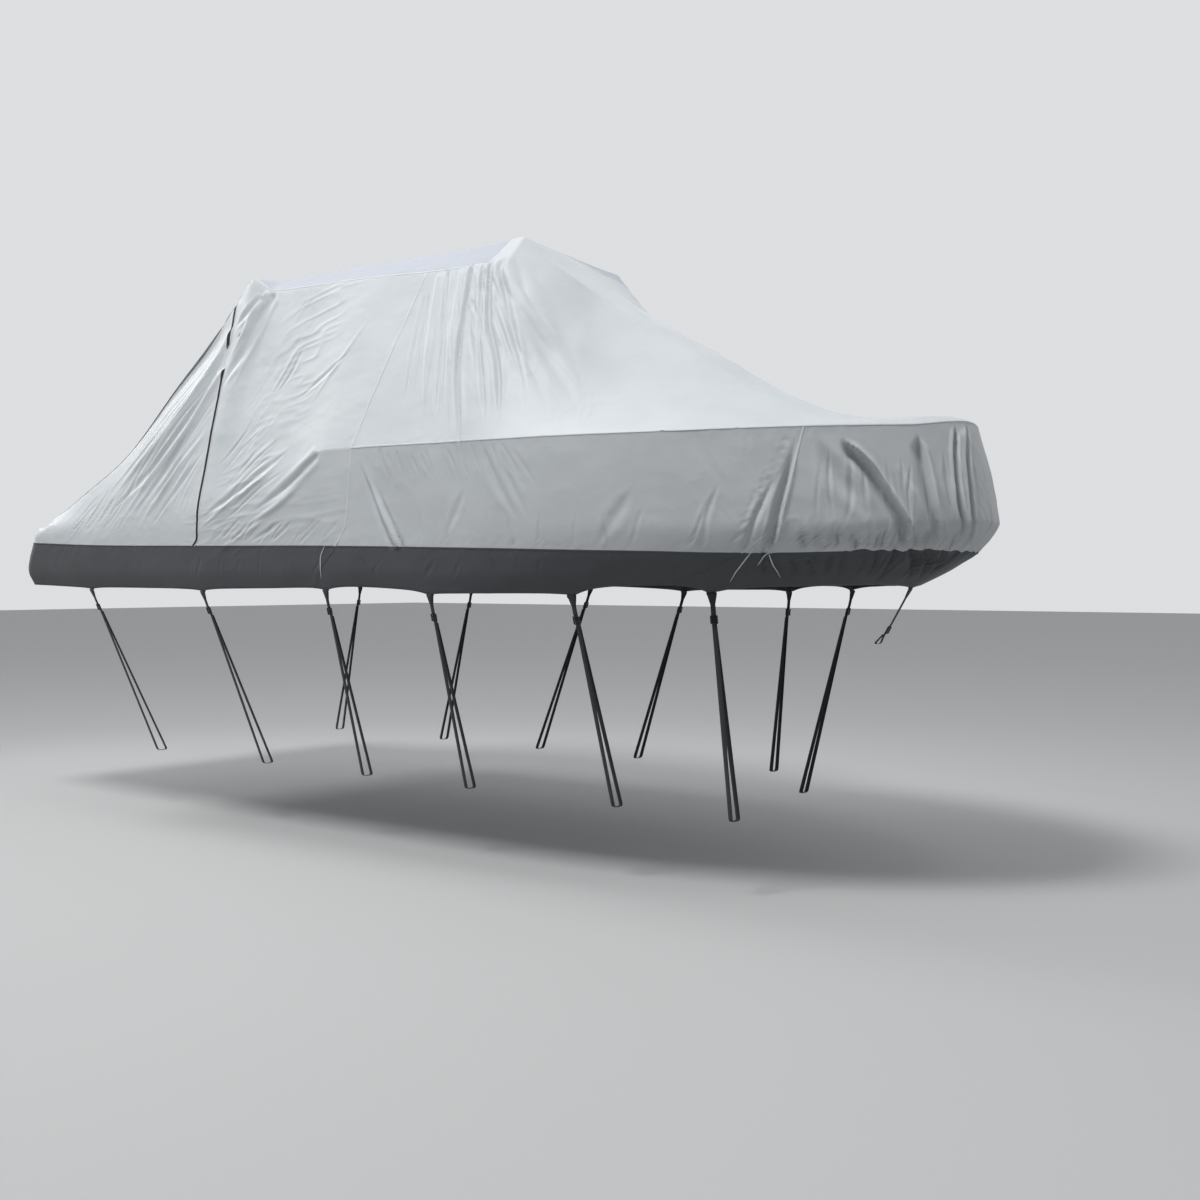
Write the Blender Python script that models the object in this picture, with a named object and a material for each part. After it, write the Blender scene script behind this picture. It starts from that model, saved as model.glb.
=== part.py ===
"""Boat cover, modelled as it hangs: an open, hollow sewn shell with tie-down straps.

Design frame: x forward from the stern, y to port, z above the hem's lowest point, in metres.
The finished model is moved so that the world's origin is the place under the roof where the
cover is held up. One structured net of points runs over the whole cover: wall columns round
the hem, and transverse lines over the top. Every sewn panel is a range of that net, given
the cloth's thickness along shared normals, so that neighbouring panels meet edge to edge.
"""
import math

import bmesh
import bpy
import numpy as np
from mathutils import Vector

# ---------------------------------------------------------------- driving sizes (metres)
CLOTH = 0.002               # thickness of the sewn cloth
SEAM_GAP = 0.0003           # clear gap between neighbouring panels
SEAM_SETBACK = 0.75 * SEAM_GAP      # each panel's share, square to the seam, with some to spare
HOLD_UP = (3.10, 0.0, 2.02)  # the place under the roof where the cover is carried

# Horizontal outlines of the wall, from the hem up. "full" is the last x with the full
# half beam; ahead of it the outline closes to the tip as a superellipse.
LEVEL_NAMES = ("hem", "band_mid", "band_top", "bulge", "flare", "gunwale")
LEVELS = {
    "hem": dict(stern=0.000, half=1.250, radius=0.15, full=3.60, tip=6.24),
    "band_mid": dict(stern=-0.035, half=1.275, radius=0.15, full=3.70, tip=6.41),
    "band_top": dict(stern=0.045, half=1.280, radius=0.15, full=3.80, tip=6.55),
    "bulge": dict(stern=0.055, half=1.280, radius=0.15, full=3.90, tip=6.665),
    "flare": dict(stern=0.062, half=1.275, radius=0.16, full=4.00, tip=6.62),
    "gunwale": dict(stern=0.075, half=1.265, radius=0.18, full=4.10, tip=6.545),
}
STERN_NARROWING = 0.030     # share of the half beam lost between "full" and the stern
BOW_POWER_X = 2.5
BOW_POWER_Y = 1.80
BOW_CORNER = 0.46           # share of the half beam where side columns give way to the bow

# Height of each level along the cover.
HEIGHT_X = (0.0, 1.0, 2.1, 2.75, 3.22, 4.2, 5.2, 5.9, 6.4, 6.6)
HEIGHTS = {
    "hem": (0.034, 0.012, 0.006, 0.010, 0.018, -0.008, 0.000, 0.025, 0.030, 0.030),
    "band_mid": (0.140, 0.130, 0.130, 0.130, 0.135, 0.110, 0.105, 0.110, 0.115, 0.115),
    "band_top": (0.335, 0.300, 0.280, 0.270, 0.262, 0.238, 0.212, 0.197, 0.206, 0.210),
    "bulge": (0.365, 0.335, 0.335, 0.350, 0.400, 0.380, 0.360, 0.350, 0.350, 0.355),
    "flare": (0.400, 0.385, 0.400, 0.460, 0.600, 0.585, 0.560, 0.550, 0.570, 0.590),
    "gunwale": (0.435, 0.450, 0.490, 0.600, 0.815, 0.798, 0.782, 0.772, 0.800, 0.843),
}

# Cross sections of the upper cover, one row a station.
SECTION_COLUMNS = ("x", "shoulder", "shoulder_z", "crown", "crown_z", "centre_z")
SECTIONS = (
    (0.08, 1.12, 0.450, 0.70, 0.465, 0.470),
    (0.51, 1.12, 0.640, 0.70, 0.660, 0.665),
    (0.93, 1.08, 0.862, 0.70, 0.887, 0.892),
    (1.30, 1.03, 1.250, 0.70, 1.275, 1.280),
    (1.70, 0.95, 1.640, 0.74, 1.660, 1.665),
    (1.98, 0.89, 1.892, 0.80, 1.907, 1.912),
    (2.10, 0.88, 2.006, 0.79, 2.020, 2.022),
    (2.28, 0.86, 1.925, 0.75, 2.000, 2.010),
    (3.20, 0.86, 1.880, 0.66, 2.010, 2.024),
    (3.85, 0.84, 1.835, 0.60, 2.024, 2.026),
    (4.04, 0.80, 1.800, 0.57, 2.040, 2.030),
    (4.20, 0.77, 1.650, 0.38, 1.876, 1.892),
    (4.50, 0.72, 1.370, 0.18, 1.660, 1.685),
    (5.00, 0.68, 1.040, 0.16, 1.350, 1.385),
    (5.60, 0.60, 0.880, 0.18, 1.010, 1.045),
    (5.85, 0.52, 0.842, 0.20, 0.925, 0.948),
    (6.20, 0.38, 0.848, 0.18, 0.878, 0.886),
    (6.60, 0.10, 0.845, 0.05, 0.847, 0.849),
)
CREASE_ROUNDING = 0.035     # half width over which the section's corners are rounded
SHOULDER_LIMIT = 0.92       # the shoulder stays within this share of the gunwale's beam
CROWN_LIMIT = 0.90          # and the crown within this share of the shoulder
ROOF_SKEW = 0.147           # the roof's front edge leans back towards port
ROOF_SKEW_RANGE = (3.2, 3.9, 4.3, 4.9)

# The net. Wall rows run over the levels above (0 is the hem, 5 the gunwale).
WALL_ROWS = (0.0, 1.0, 2.0, 2.7, 3.45, 4.2, 5.0)
BAND_TOP_ROW = 2
SHOULDER_STEPS = (0.0, 0.22, 0.44, 0.66, 0.765, 1.0)  # gunwale to shoulder
CROWN_STEPS = (0.5, 1.0)                              # shoulder to crown
CENTRE_STEPS = (0.5, 1.0)                             # crown to centre line
LINES = len(SHOULDER_STEPS) - 1 + len(CROWN_STEPS) + len(CENTRE_STEPS)  # a half's steps
SHOULDER_LINE = len(SHOULDER_STEPS) - 1

COLUMN_STEP = 0.16
# Stretches of the gunwale with finer columns: from x, to x, step.
FINE_COLUMNS = (
    (2.35, 3.30, 0.095),
    (3.44, 4.60, 0.056),
    (5.60, 6.50, 0.055),
)
ZIP_X = 2.02                # where the zip crosses the gunwale
ZIP_WIDTH = 0.030
SEAM_X = 3.44               # side seam from roof to hem
BOW_SEAM_X = 6.05           # bow-corner seams
ROOF_REAR_X = 2.10          # the roof panel's rear and front edges
ROOF_FRONT_X = 4.06
CREST_COLUMN_X = 2.20       # column that runs up to the roof's rear crest
EVEN_BOW_X = 5.45           # ahead of this the top's net is evened out
EVENING_ROUNDS = 400
# How far columns lean forward at the shoulder and at the hem, by their gunwale x.
LEAN_X = (1.30, 2.02, 2.70, 3.44, 4.06, 5.20, 6.05, 6.38)
LEAN_TOP = (0.0, -0.09, 0.0, 0.20, 0.0, 0.0, 0.0, 0.0)
LEAN_HEM = (0.0, 0.02, 0.0, -0.10, 0.0, 0.0, -0.28, 0.0)

# Folds and creases that show from a step away: rows of side (-1 starboard, 1 port), start
# and end as (girth, z), depth and half width. Girth is x along the side and runs on round
# the bow as an arc about BOW_CENTRE_X.
BOW_CENTRE_X = 5.30
BOW_ARC = 1.05
FOLD_RUN_IN = (-0.06, 0.12)         # a fold deepens over this stretch at its start
FOLD_RUN_OUT = (-0.10, 0.06)        # and fades over this stretch at its end
RIDGE_SHARE = 0.30                  # height of the ridges beside a fold, of its depth
RIDGE_PLACE = 1.9                   # their distance from it, in half widths
SIDE_FADE = (0.02, 0.10)            # half breadth over which a side's folds set in
FOLD_COLUMNS = ("start_girth", "start_z", "end_girth", "end_z", "depth", "half_width")
STARBOARD_FOLDS = (
    # roof edge down to the gunwale, below the roof's front corner
    (3.79, 1.78, 4.06, 0.86, 0.016, 0.040),
    (3.95, 1.74, 4.26, 0.81, 0.024, 0.036),
    (4.05, 1.72, 4.36, 0.85, 0.012, 0.036),
    (4.10, 1.70, 4.45, 0.81, 0.024, 0.038),
    (4.12, 1.80, 4.42, 1.02, 0.014, 0.040),
    (4.18, 1.79, 4.54, 1.01, 0.014, 0.045),
    (4.18, 1.88, 4.74, 1.07, 0.014, 0.055),
    (4.29, 1.80, 4.91, 1.08, 0.012, 0.060),
    # side below the gunwale
    (4.28, 0.79, 4.36, 0.60, 0.016, 0.034),
    (4.47, 0.78, 4.71, 0.38, 0.014, 0.050),
    (3.56, 0.66, 3.74, 0.27, 0.022, 0.036),
    (3.67, 0.60, 3.83, 0.22, 0.022, 0.036),
    (5.30, 0.47, 5.11, 0.23, 0.012, 0.060),
    # side behind the gunwale's rear end, pulled down towards the stern
    (2.72, 0.80, 2.05, 0.45, 0.030, 0.050),
    (3.17, 0.79, 2.60, 0.50, 0.030, 0.055),
    (2.73, 1.46, 2.55, 1.20, 0.014, 0.060),
    # long folds from the roof's rear corner to the stern
    (2.20, 1.88, 1.22, 0.37, 0.022, 0.070),
    (1.86, 1.33, 0.93, 0.36, 0.022, 0.075),
    (1.74, 0.78, 1.22, 0.37, 0.016, 0.060),
    # bow
    (6.03, 0.70, 5.95, 0.20, 0.030, 0.040),
    (5.95, 0.60, 5.82, 0.19, 0.022, 0.040),
    (6.22, 0.71, 6.35, 0.35, 0.018, 0.050),
    (6.28, 0.71, 6.40, 0.49, 0.042, 0.040),
    (6.40, 0.49, 6.54, 0.20, 0.046, 0.044),
    (6.57, 0.74, 6.68, 0.20, 0.034, 0.036),
    (6.78, 0.82, 6.78, 0.22, 0.018, 0.030),
    (6.87, 0.82, 6.88, 0.22, 0.020, 0.030),
)
# The far side hangs the same way with fewer folds.
PORT_FOLDS = (
    (3.84, 1.76, 4.10, 0.86, 0.018, 0.045),
    (4.00, 1.74, 4.30, 0.82, 0.022, 0.042),
    (4.14, 1.74, 4.50, 0.85, 0.018, 0.045),
    (4.22, 1.80, 4.80, 1.05, 0.014, 0.060),
    (3.62, 0.64, 3.80, 0.25, 0.020, 0.042),
    (4.50, 0.76, 4.68, 0.36, 0.014, 0.050),
    (2.78, 0.80, 2.10, 0.46, 0.028, 0.055),
    (3.14, 0.78, 2.64, 0.50, 0.026, 0.055),
    (2.20, 1.86, 1.16, 0.38, 0.022, 0.075),
    (1.84, 1.30, 0.88, 0.38, 0.020, 0.080),
    (6.00, 0.70, 5.92, 0.20, 0.028, 0.045),
    (6.30, 0.72, 6.50, 0.20, 0.034, 0.050),
    (6.60, 0.74, 6.70, 0.20, 0.026, 0.045),
)
# Broad unevenness of the whole cloth: waves a metre along x, y and z, start and height.
ROLL_COLUMNS = ("x", "y", "z", "start", "height")
ROLL_WAVES = (
    (2.3, 1.7, 3.1, 0.0, 0.0036),
    (4.9, 0.0, -2.2, 1.0, 0.00216),
)

# Tie-down straps, one row a strap: hem x, foot x, foot half breadth, foot z.
STRAP_COLUMNS = ("name", "side", "hem_x", "foot_x", "foot_y", "foot_z")
STRAPS = (
    ("starboard_1", -1, 0.84, 1.05, 0.85, -1.108),
    ("starboard_2", -1, 2.07, 2.18, 0.85, -1.108),
    ("starboard_3", -1, 3.22, 3.10, 0.85, -1.108),
    ("starboard_4", -1, 4.03, 3.94, 0.85, -1.108),
    ("starboard_5", -1, 4.91, 4.97, 0.85, -1.108),
    ("starboard_6", -1, 5.58, 5.68, 0.85, -1.108),
    ("port_1", 1, 0.84, 1.05, 0.85, -1.108),
    ("port_2", 1, 2.07, 2.18, 0.85, -1.108),
    ("port_3", 1, 3.22, 3.10, 0.85, -1.108),
    ("port_4", 1, 4.03, 3.94, 0.85, -1.108),
    ("port_5", 1, 4.91, 4.97, 0.85, -1.108),
    ("port_6", 1, 5.45, 5.30, 0.62, -1.180),
)
BOW_STRAP_FOOT = (6.068, -0.262)    # x and z of the bow strap's lower end
STRAP_WIDTH = 0.025
STRAP_THICKNESS = 0.0016


# ---------------------------------------------------------------- small maths
def smooth_table(xs, ys, x):
    """Shape-keeping cubic through a table's points, held level beyond its ends."""
    xs = np.asarray(xs, float)
    ys = np.asarray(ys, float)
    x = np.clip(np.asarray(x, float), xs[0], xs[-1])
    step = np.diff(xs)
    rise = np.diff(ys) / step
    slope = np.zeros_like(ys)
    slope[0] = rise[0]
    slope[-1] = rise[-1]
    for i in range(1, len(xs) - 1):
        if rise[i - 1] * rise[i] > 0:
            before = 2 * step[i] + step[i - 1]
            after = step[i] + 2 * step[i - 1]
            slope[i] = (before + after) / (before / rise[i - 1] + after / rise[i])
    i = np.clip(np.searchsorted(xs, x, side="right") - 1, 0, len(xs) - 2)
    t = (x - xs[i]) / step[i]
    start = (1 + 2 * t) * (1 - t) ** 2 * ys[i] + t * (1 - t) ** 2 * step[i] * slope[i]
    end = t * t * (3 - 2 * t) * ys[i + 1] + t * t * (t - 1) * step[i] * slope[i + 1]
    return start + end


def ramp(x, low, high):
    """0 below low, 1 above high, smooth between."""
    t = np.clip((np.asarray(x, float) - low) / (high - low), 0.0, 1.0)
    return t * t * (3 - 2 * t)


# ---------------------------------------------------------------- the cover's surface
def level_height(level, x):
    return smooth_table(HEIGHT_X, HEIGHTS[level], x)


def half_beam(level, x):
    """Half breadth of a level's outline at x."""
    p = LEVELS[level]
    x = np.asarray(x, float)
    narrowing = STERN_NARROWING * np.clip((p["full"] - x) / p["full"], 0, 1) ** 2
    bow = np.clip((x - p["full"]) / (p["tip"] - p["full"]), 0, 1)
    y = p["half"] * (1 - narrowing) * (1 - bow ** BOW_POWER_X) ** (1 / BOW_POWER_Y)
    inside = np.clip(p["stern"] + p["radius"] - x, 0, p["radius"])
    return y - p["radius"] + np.sqrt(p["radius"] ** 2 - inside ** 2)


def end_x(level, end, y):
    """x of a level's stern or bow outline at half breadth y."""
    p = LEVELS[level]
    if end == "stern":
        full = p["half"] * (1 - STERN_NARROWING)
        over = np.clip(y - (full - p["radius"]), 0, p["radius"])
        return p["stern"] + p["radius"] - np.sqrt(p["radius"] ** 2 - over ** 2)
    share = np.clip(y / p["half"], 0, 1)
    reach = p["tip"] - p["full"]
    return p["full"] + reach * (1 - share ** BOW_POWER_Y) ** (1 / BOW_POWER_X)


def side_ends(level):
    """x where the side columns begin, at the stern corner, and end, at the bow corner."""
    p = LEVELS[level]
    first = p["stern"] + p["radius"] * (1 - math.cos(math.radians(45)))
    last = float(end_x(level, "bow", BOW_CORNER * p["half"]))
    return first, last


def section_at(x, y):
    """Shoulder, crown and centre values of the section through (x, y)."""
    a, b, c, d = ROOF_SKEW_RANGE
    lean = ROOF_SKEW * ramp(x, a, b) * (1 - ramp(x, c, d))
    station = x + lean * y
    table = np.array(SECTIONS)
    return {name: smooth_table(table[:, 0], table[:, i], station)
            for i, name in enumerate(SECTION_COLUMNS) if i}


def line_breadths(x, beam):
    """Half breadths of the fore-and-aft lines at x, from the gunwale to the centre."""
    part = section_at(x, 0.0)
    shoulder = min(float(part["shoulder"]), SHOULDER_LIMIT * beam)
    crown = min(float(part["crown"]), CROWN_LIMIT * shoulder)
    rows = [beam + (shoulder - beam) * f for f in SHOULDER_STEPS]
    rows += [shoulder + (crown - shoulder) * f for f in CROWN_STEPS]
    rows += [crown * (1 - f) for f in CENTRE_STEPS]
    return rows


def top_height(x, y):
    """Height of the upper cover over the plan point (x, y), its creases rounded."""
    x = np.asarray(x, float)
    y = np.asarray(y, float)
    part = section_at(x, y)
    beam = half_beam("gunwale", x)
    gunwale_z = level_height("gunwale", x)
    shoulder = np.minimum(part["shoulder"], SHOULDER_LIMIT * beam)
    crown = np.minimum(part["crown"], CROWN_LIMIT * shoulder)
    total = 0.0
    offsets = (-1.0, -0.5, 0.0, 0.5, 1.0)
    for offset in offsets:
        v = np.abs(np.abs(y) + offset * CREASE_ROUNDING)
        side = (beam - v) / np.maximum(beam - shoulder, 1e-3)
        edge = (shoulder - v) / np.maximum(shoulder - crown, 1e-3)
        roof = v / np.maximum(crown, 1e-3)
        z = np.where(
            v > shoulder, gunwale_z + (part["shoulder_z"] - gunwale_z) * side,
            np.where(
                v > crown, part["shoulder_z"] + (part["crown_z"] - part["shoulder_z"]) * edge,
                part["centre_z"] + (part["crown_z"] - part["centre_z"]) * roof))
        total = total + z / len(offsets)
    return total


# ---------------------------------------------------------------- the net of points
def column_stations():
    """x of the side columns on the gunwale, finer where folds gather."""
    first, last = side_ends("gunwale")
    marks = [first, ZIP_X, ZIP_X + ZIP_WIDTH, CREST_COLUMN_X, SEAM_X, ROOF_FRONT_X,
             BOW_SEAM_X, last]
    for start, end, _ in FINE_COLUMNS:
        marks += [start, end]
    marks = sorted({m for m in marks if m <= last})
    stations = [first]
    for start, end in zip(marks[:-1], marks[1:]):
        middle = 0.5 * (start + end)
        step = COLUMN_STEP
        for low, high, fine in FINE_COLUMNS:
            if low <= middle <= high:
                step = fine
        count = max(1, round((end - start) / step))
        stations += [start + (end - start) * (j + 1) / count for j in range(count)]
    return stations


class Net:
    """Points of the whole cover and the cells between them."""

    def __init__(self):
        self.stations = column_stations()
        self.points = []
        self.index = {}
        self.cells = []
        self.add_wall()
        self.add_top()
        self.points = np.array(self.points)

    def add_point(self, key, point):
        self.index[key] = len(self.points)
        self.points.append(point)

    def wall_curve(self, place):
        """Level points of one wall column, smoothed over the wall's rows."""
        kind, value, side = place
        pts = []
        for level in LEVEL_NAMES:
            if kind == "side":
                start_g, end_g = side_ends("gunwale")
                start, end = side_ends(level)
                x = start + (value - start_g) / (end_g - start_g) * (end - start)
                down = 1 - LEVEL_NAMES.index(level) / (len(LEVEL_NAMES) - 1)
                x = min(max(x + down * float(np.interp(value, LEAN_X, LEAN_HEM)), start), end)
                y = float(half_beam(level, x))
            elif kind == "bow":
                y = value * BOW_CORNER * LEVELS[level]["half"]
                x = float(end_x(level, "bow", y))
            else:
                y = value * float(half_beam(level, side_ends(level)[0]))
                x = float(end_x(level, "stern", y))
            pts.append((x, side * y, float(level_height(level, x))))
        pts = np.array(pts)
        rows = np.arange(len(LEVEL_NAMES))
        return np.stack([smooth_table(rows, pts[:, i], WALL_ROWS) for i in range(3)], -1)

    def add_wall(self):
        count = len(self.stations)
        bow = [1 - k / LINES for k in range(LINES + 1)]
        stern_beam = float(half_beam("gunwale", self.stations[0]))
        stern = [b / stern_beam for b in line_breadths(self.stations[0], stern_beam)]
        ring = [(("side", i, -1), ("side", x, -1)) for i, x in enumerate(self.stations)]
        ring += [(("bow", k, 0), ("bow", bow[k], -1)) for k in range(1, LINES)]
        ring += [(("bow", LINES, 0), ("bow", 0.0, 1))]
        ring += [(("bow", 2 * LINES - k, 0), ("bow", bow[k], 1)) for k in range(LINES - 1, 0, -1)]
        ring += [(("side", i, 1), ("side", self.stations[i], 1)) for i in range(count - 1, -1, -1)]
        ring += [(("stern", 2 * LINES - k, 0), ("stern", stern[k], 1)) for k in range(1, LINES)]
        ring += [(("stern", LINES, 0), ("stern", 0.0, 1))]
        ring += [(("stern", k, 0), ("stern", stern[k], -1)) for k in range(LINES - 1, 0, -1)]
        self.ring = [key for key, _ in ring]
        for key, place in ring:
            for row, point in enumerate(self.wall_curve(place)):
                self.add_point(("wall", key, row), point)
        for a, b in zip(self.ring, self.ring[1:] + self.ring[:1]):
            for row in range(len(WALL_ROWS) - 1):
                corners = [("wall", a, row), ("wall", b, row),
                           ("wall", b, row + 1), ("wall", a, row + 1)]
                self.cells.append((("wall", a, b, row), [self.index[c] for c in corners]))

    def top_key(self, i, k):
        """Name of the point on transverse line i and fore-and-aft line k."""
        last_i = len(self.stations) - 1
        last_k = 2 * LINES
        top = len(WALL_ROWS) - 1
        if k == 0:
            return ("wall", ("side", i, -1), top)
        if k == last_k:
            return ("wall", ("side", i, 1), top)
        if i == 0:
            return ("wall", ("stern", k, 0), top)
        if i == last_i:
            return ("wall", ("bow", k, 0), top)
        return ("top", i, k)

    def plan_of_top(self):
        """Plan positions of the top's net: on the features, and evened out at the bow."""
        count = len(self.stations)
        plan = np.zeros((count, 2 * LINES + 1, 2))
        for i, x in enumerate(self.stations):
            beam = float(half_beam("gunwale", x))
            breadths = line_breadths(x, beam)
            for k in range(2 * LINES + 1):
                half = breadths[min(k, 2 * LINES - k)]
                up = min(1.0, (beam - half) / (beam - breadths[SHOULDER_LINE]))
                lean = up * float(np.interp(x, LEAN_X, LEAN_TOP))
                plan[i, k] = (x + lean, half if k > LINES else -half)
        for i in (0, count - 1):
            for k in range(1, 2 * LINES):
                plan[i, k] = self.points[self.index[self.top_key(i, k)]][:2]
        first = next(i for i, x in enumerate(self.stations) if x > EVEN_BOW_X)
        zone = plan[first:]
        for _ in range(EVENING_ROUNDS):
            zone[1:-1, 1:-1] = 0.25 * (zone[:-2, 1:-1] + zone[2:, 1:-1]
                                       + zone[1:-1, :-2] + zone[1:-1, 2:])
        return plan

    def add_top(self):
        count = len(self.stations)
        plan = self.plan_of_top()
        for i in range(1, count - 1):
            for k in range(1, 2 * LINES):
                x, y = (float(v) for v in plan[i, k])
                self.add_point(("top", i, k), (x, y, float(top_height(x, y))))
        for i in range(count - 1):
            for k in range(2 * LINES):
                corners = [self.top_key(i, k), self.top_key(i + 1, k),
                           self.top_key(i + 1, k + 1), self.top_key(i, k + 1)]
                self.cells.append((("top", i, k), [self.index[c] for c in corners]))

    def normals(self):
        """Outward normals at the points, from all cells that share them."""
        total = np.zeros_like(self.points)
        for _, quad in self.cells:
            p = self.points[quad]
            face = np.cross(p[2] - p[0], p[3] - p[1])
            for v in quad:
                total[v] += face
        return total / np.linalg.norm(total, axis=1)[:, None]


def girth(x, y):
    """Distance along the side, run on round the bow."""
    angle = np.arctan2(np.maximum(x - BOW_CENTRE_X, 0), np.maximum(np.abs(y), 1e-6))
    return np.minimum(x, BOW_CENTRE_X) + BOW_ARC * angle


def fold_offsets(points):
    """Inward depth of the folds at each point, negative on the ridges beside them."""
    x, y, z = points[:, 0], points[:, 1], points[:, 2]
    along = girth(x, y)
    total = np.zeros(len(points))
    for side, table in ((-1, STARBOARD_FOLDS), (1, PORT_FOLDS)):
        on_side = ramp(side * y, *SIDE_FADE)
        for row in table:
            fold = dict(zip(FOLD_COLUMNS, row))
            run_s = fold["end_girth"] - fold["start_girth"]
            run_z = fold["end_z"] - fold["start_z"]
            length = math.hypot(run_s, run_z)
            run_s, run_z = run_s / length, run_z / length
            from_s = along - fold["start_girth"]
            from_z = z - fold["start_z"]
            t = from_s * run_s + from_z * run_z
            off = (from_s * run_z - from_z * run_s) / fold["half_width"]
            fade = 1 - ramp(t, length + FOLD_RUN_OUT[0], length + FOLD_RUN_OUT[1])
            ends = ramp(t, *FOLD_RUN_IN) * fade
            trough = np.exp(-off ** 2)
            ridges = np.exp(-(np.abs(off) - RIDGE_PLACE) ** 2)
            total += on_side * ends * fold["depth"] * (trough - RIDGE_SHARE * ridges)
    return total


def broad_roll(points):
    """Low waves that keep the cloth from lying dead smooth."""
    total = np.zeros(len(points))
    for row in ROLL_WAVES:
        wave = dict(zip(ROLL_COLUMNS, row))
        turn = points @ np.array([wave["x"], wave["y"], wave["z"]]) + wave["start"]
        total += wave["height"] * np.sin(turn)
    return total


NET = Net()
NORMALS = NET.normals()
SURFACE = NET.points - NORMALS * (fold_offsets(NET.points) + broad_roll(NET.points))[:, None]


# ---------------------------------------------------------------- scene set-up
def clear_scene():
    for obj in list(bpy.data.objects):
        bpy.data.objects.remove(obj, do_unlink=True)


def make_material(name, colour, roughness, metallic=0.0):
    material = bpy.data.materials.new(name)
    material.use_nodes = True
    shader = material.node_tree.nodes["Principled BSDF"]
    shader.inputs["Base Color"].default_value = (*colour, 1.0)
    shader.inputs["Roughness"].default_value = roughness
    shader.inputs["Metallic"].default_value = metallic
    return material


def add_object(name, bm, material, collection):
    """Finish a mesh as one named object, moved so that the hold-up place is the origin."""
    for vertex in bm.verts:
        vertex.co -= Vector(HOLD_UP)
    mesh = bpy.data.meshes.new(name)
    bm.to_mesh(mesh)
    bm.free()
    mesh.materials.append(material)
    mesh.shade_smooth()
    mesh.set_sharp_from_angle(angle=math.radians(40))
    obj = bpy.data.objects.new(name, mesh)
    collection.objects.link(obj)
    return obj


# ---------------------------------------------------------------- sewn panels
def add_sheet(name, cells, material, collection):
    """A closed sheet over some cells of the net, set back a little from its seams."""
    quads = [quad for _, quad in cells]
    sides = {}
    for quad in quads:
        for a, b in zip(quad, quad[1:] + quad[:1]):
            sides[(a, b)] = True
    rim = [(a, b) for a, b in sides if (b, a) not in sides]
    inward = {}
    for a, b in rim:
        along = SURFACE[b] - SURFACE[a]
        for v in (a, b):
            into = np.cross(NORMALS[v], along)
            inward.setdefault(v, []).append(into / np.linalg.norm(into))
    used = sorted({v for quad in quads for v in quad})
    bm = bmesh.new()
    outer = {}
    inner = {}
    for v in used:
        p = SURFACE[v].copy()
        n = NORMALS[v]
        if v in inward:
            pull = sum(inward[v])
            pull /= np.linalg.norm(pull)
            p += pull * SEAM_SETBACK / max(0.5, float(np.dot(pull, inward[v][0])))
        outer[v] = bm.verts.new(p + n * CLOTH / 2)
        inner[v] = bm.verts.new(p - n * CLOTH / 2)
    for a, b, c, d in quads:
        bm.faces.new((outer[a], outer[b], outer[c]))
        bm.faces.new((outer[a], outer[c], outer[d]))
        bm.faces.new((inner[c], inner[b], inner[a]))
        bm.faces.new((inner[d], inner[c], inner[a]))
    for a, b in rim:
        if a < b:
            bm.faces.new((outer[b], outer[a], inner[b]))
            bm.faces.new((outer[a], inner[a], inner[b]))
        else:
            bm.faces.new((outer[b], outer[a], inner[a]))
            bm.faces.new((outer[b], inner[a], inner[b]))
    return add_object(name, bm, material, collection)


def column_index(x):
    """Number of the side column that stands at gunwale x."""
    return int(np.argmin(np.abs(np.array(NET.stations) - x)))


def wall_place(a, b):
    """Side and mean column number of the wall strip between two columns."""
    if a[0] == "side" and b[0] == "side":
        return ("starboard" if a[2] < 0 else "port"), 0.5 * (a[1] + b[1])
    if "bow" in (a[0], b[0]):
        return "bow", 0.0
    return "stern", 0.0


ZIP = column_index(ZIP_X)
SEAM = column_index(SEAM_X)
BOW_SEAM = column_index(BOW_SEAM_X)
ROOF_REAR = column_index(ROOF_REAR_X)
ROOF_FRONT = column_index(ROOF_FRONT_X)
ZIP_BRIDGE_LINE = 3         # the line where cloth bridges the zip's slot


def band_panel(place, column):
    if place in ("bow", "stern"):
        return "band_" + place
    if column > BOW_SEAM:
        return "band_bow"
    return "band_" + place + ("_fore" if column > SEAM else "_aft")


def skirt_panel(place, column):
    if place == "stern":
        return "rear_panel"
    if place == "bow" or column > BOW_SEAM:
        return "bow_skirt"
    if column > SEAM:
        return "skirt_" + place
    if place == "port":
        return "side_panel_port"
    if ZIP < column < ZIP + 1:
        return "zip_lower"
    return "side_panel_starboard" if column > ZIP else "rear_side_panel"


def top_panel(i, k):
    """Panel of the cell between lines i, i+1 and k, k+1."""
    port = k >= LINES
    line = 2 * LINES - 1 - k if port else k
    if line >= SHOULDER_LINE:
        if i >= ROOF_FRONT:
            return "front_panel_port" if port else "front_panel_starboard"
        return "roof_panel" if i >= ROOF_REAR else "rear_panel"
    if i >= SEAM:
        return "front_panel_port" if port else "front_panel_starboard"
    if port:
        return "side_panel_port"
    if i == ZIP:
        if line < ZIP_BRIDGE_LINE:
            return "zip_lower"
        return "zip_upper" if line > ZIP_BRIDGE_LINE else "side_panel_starboard"
    return "side_panel_starboard" if i > ZIP else "rear_side_panel"


def sort_cells():
    """Cells of each panel, by the panel's name."""
    panels = {}
    for key, quad in NET.cells:
        if key[0] == "wall":
            place, column = wall_place(key[1], key[2])
            choose = band_panel if key[3] < BAND_TOP_ROW else skirt_panel
            name = choose(place, column)
        else:
            name = top_panel(key[1], key[2])
        panels.setdefault(name, []).append((key, quad))
    return panels


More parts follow.
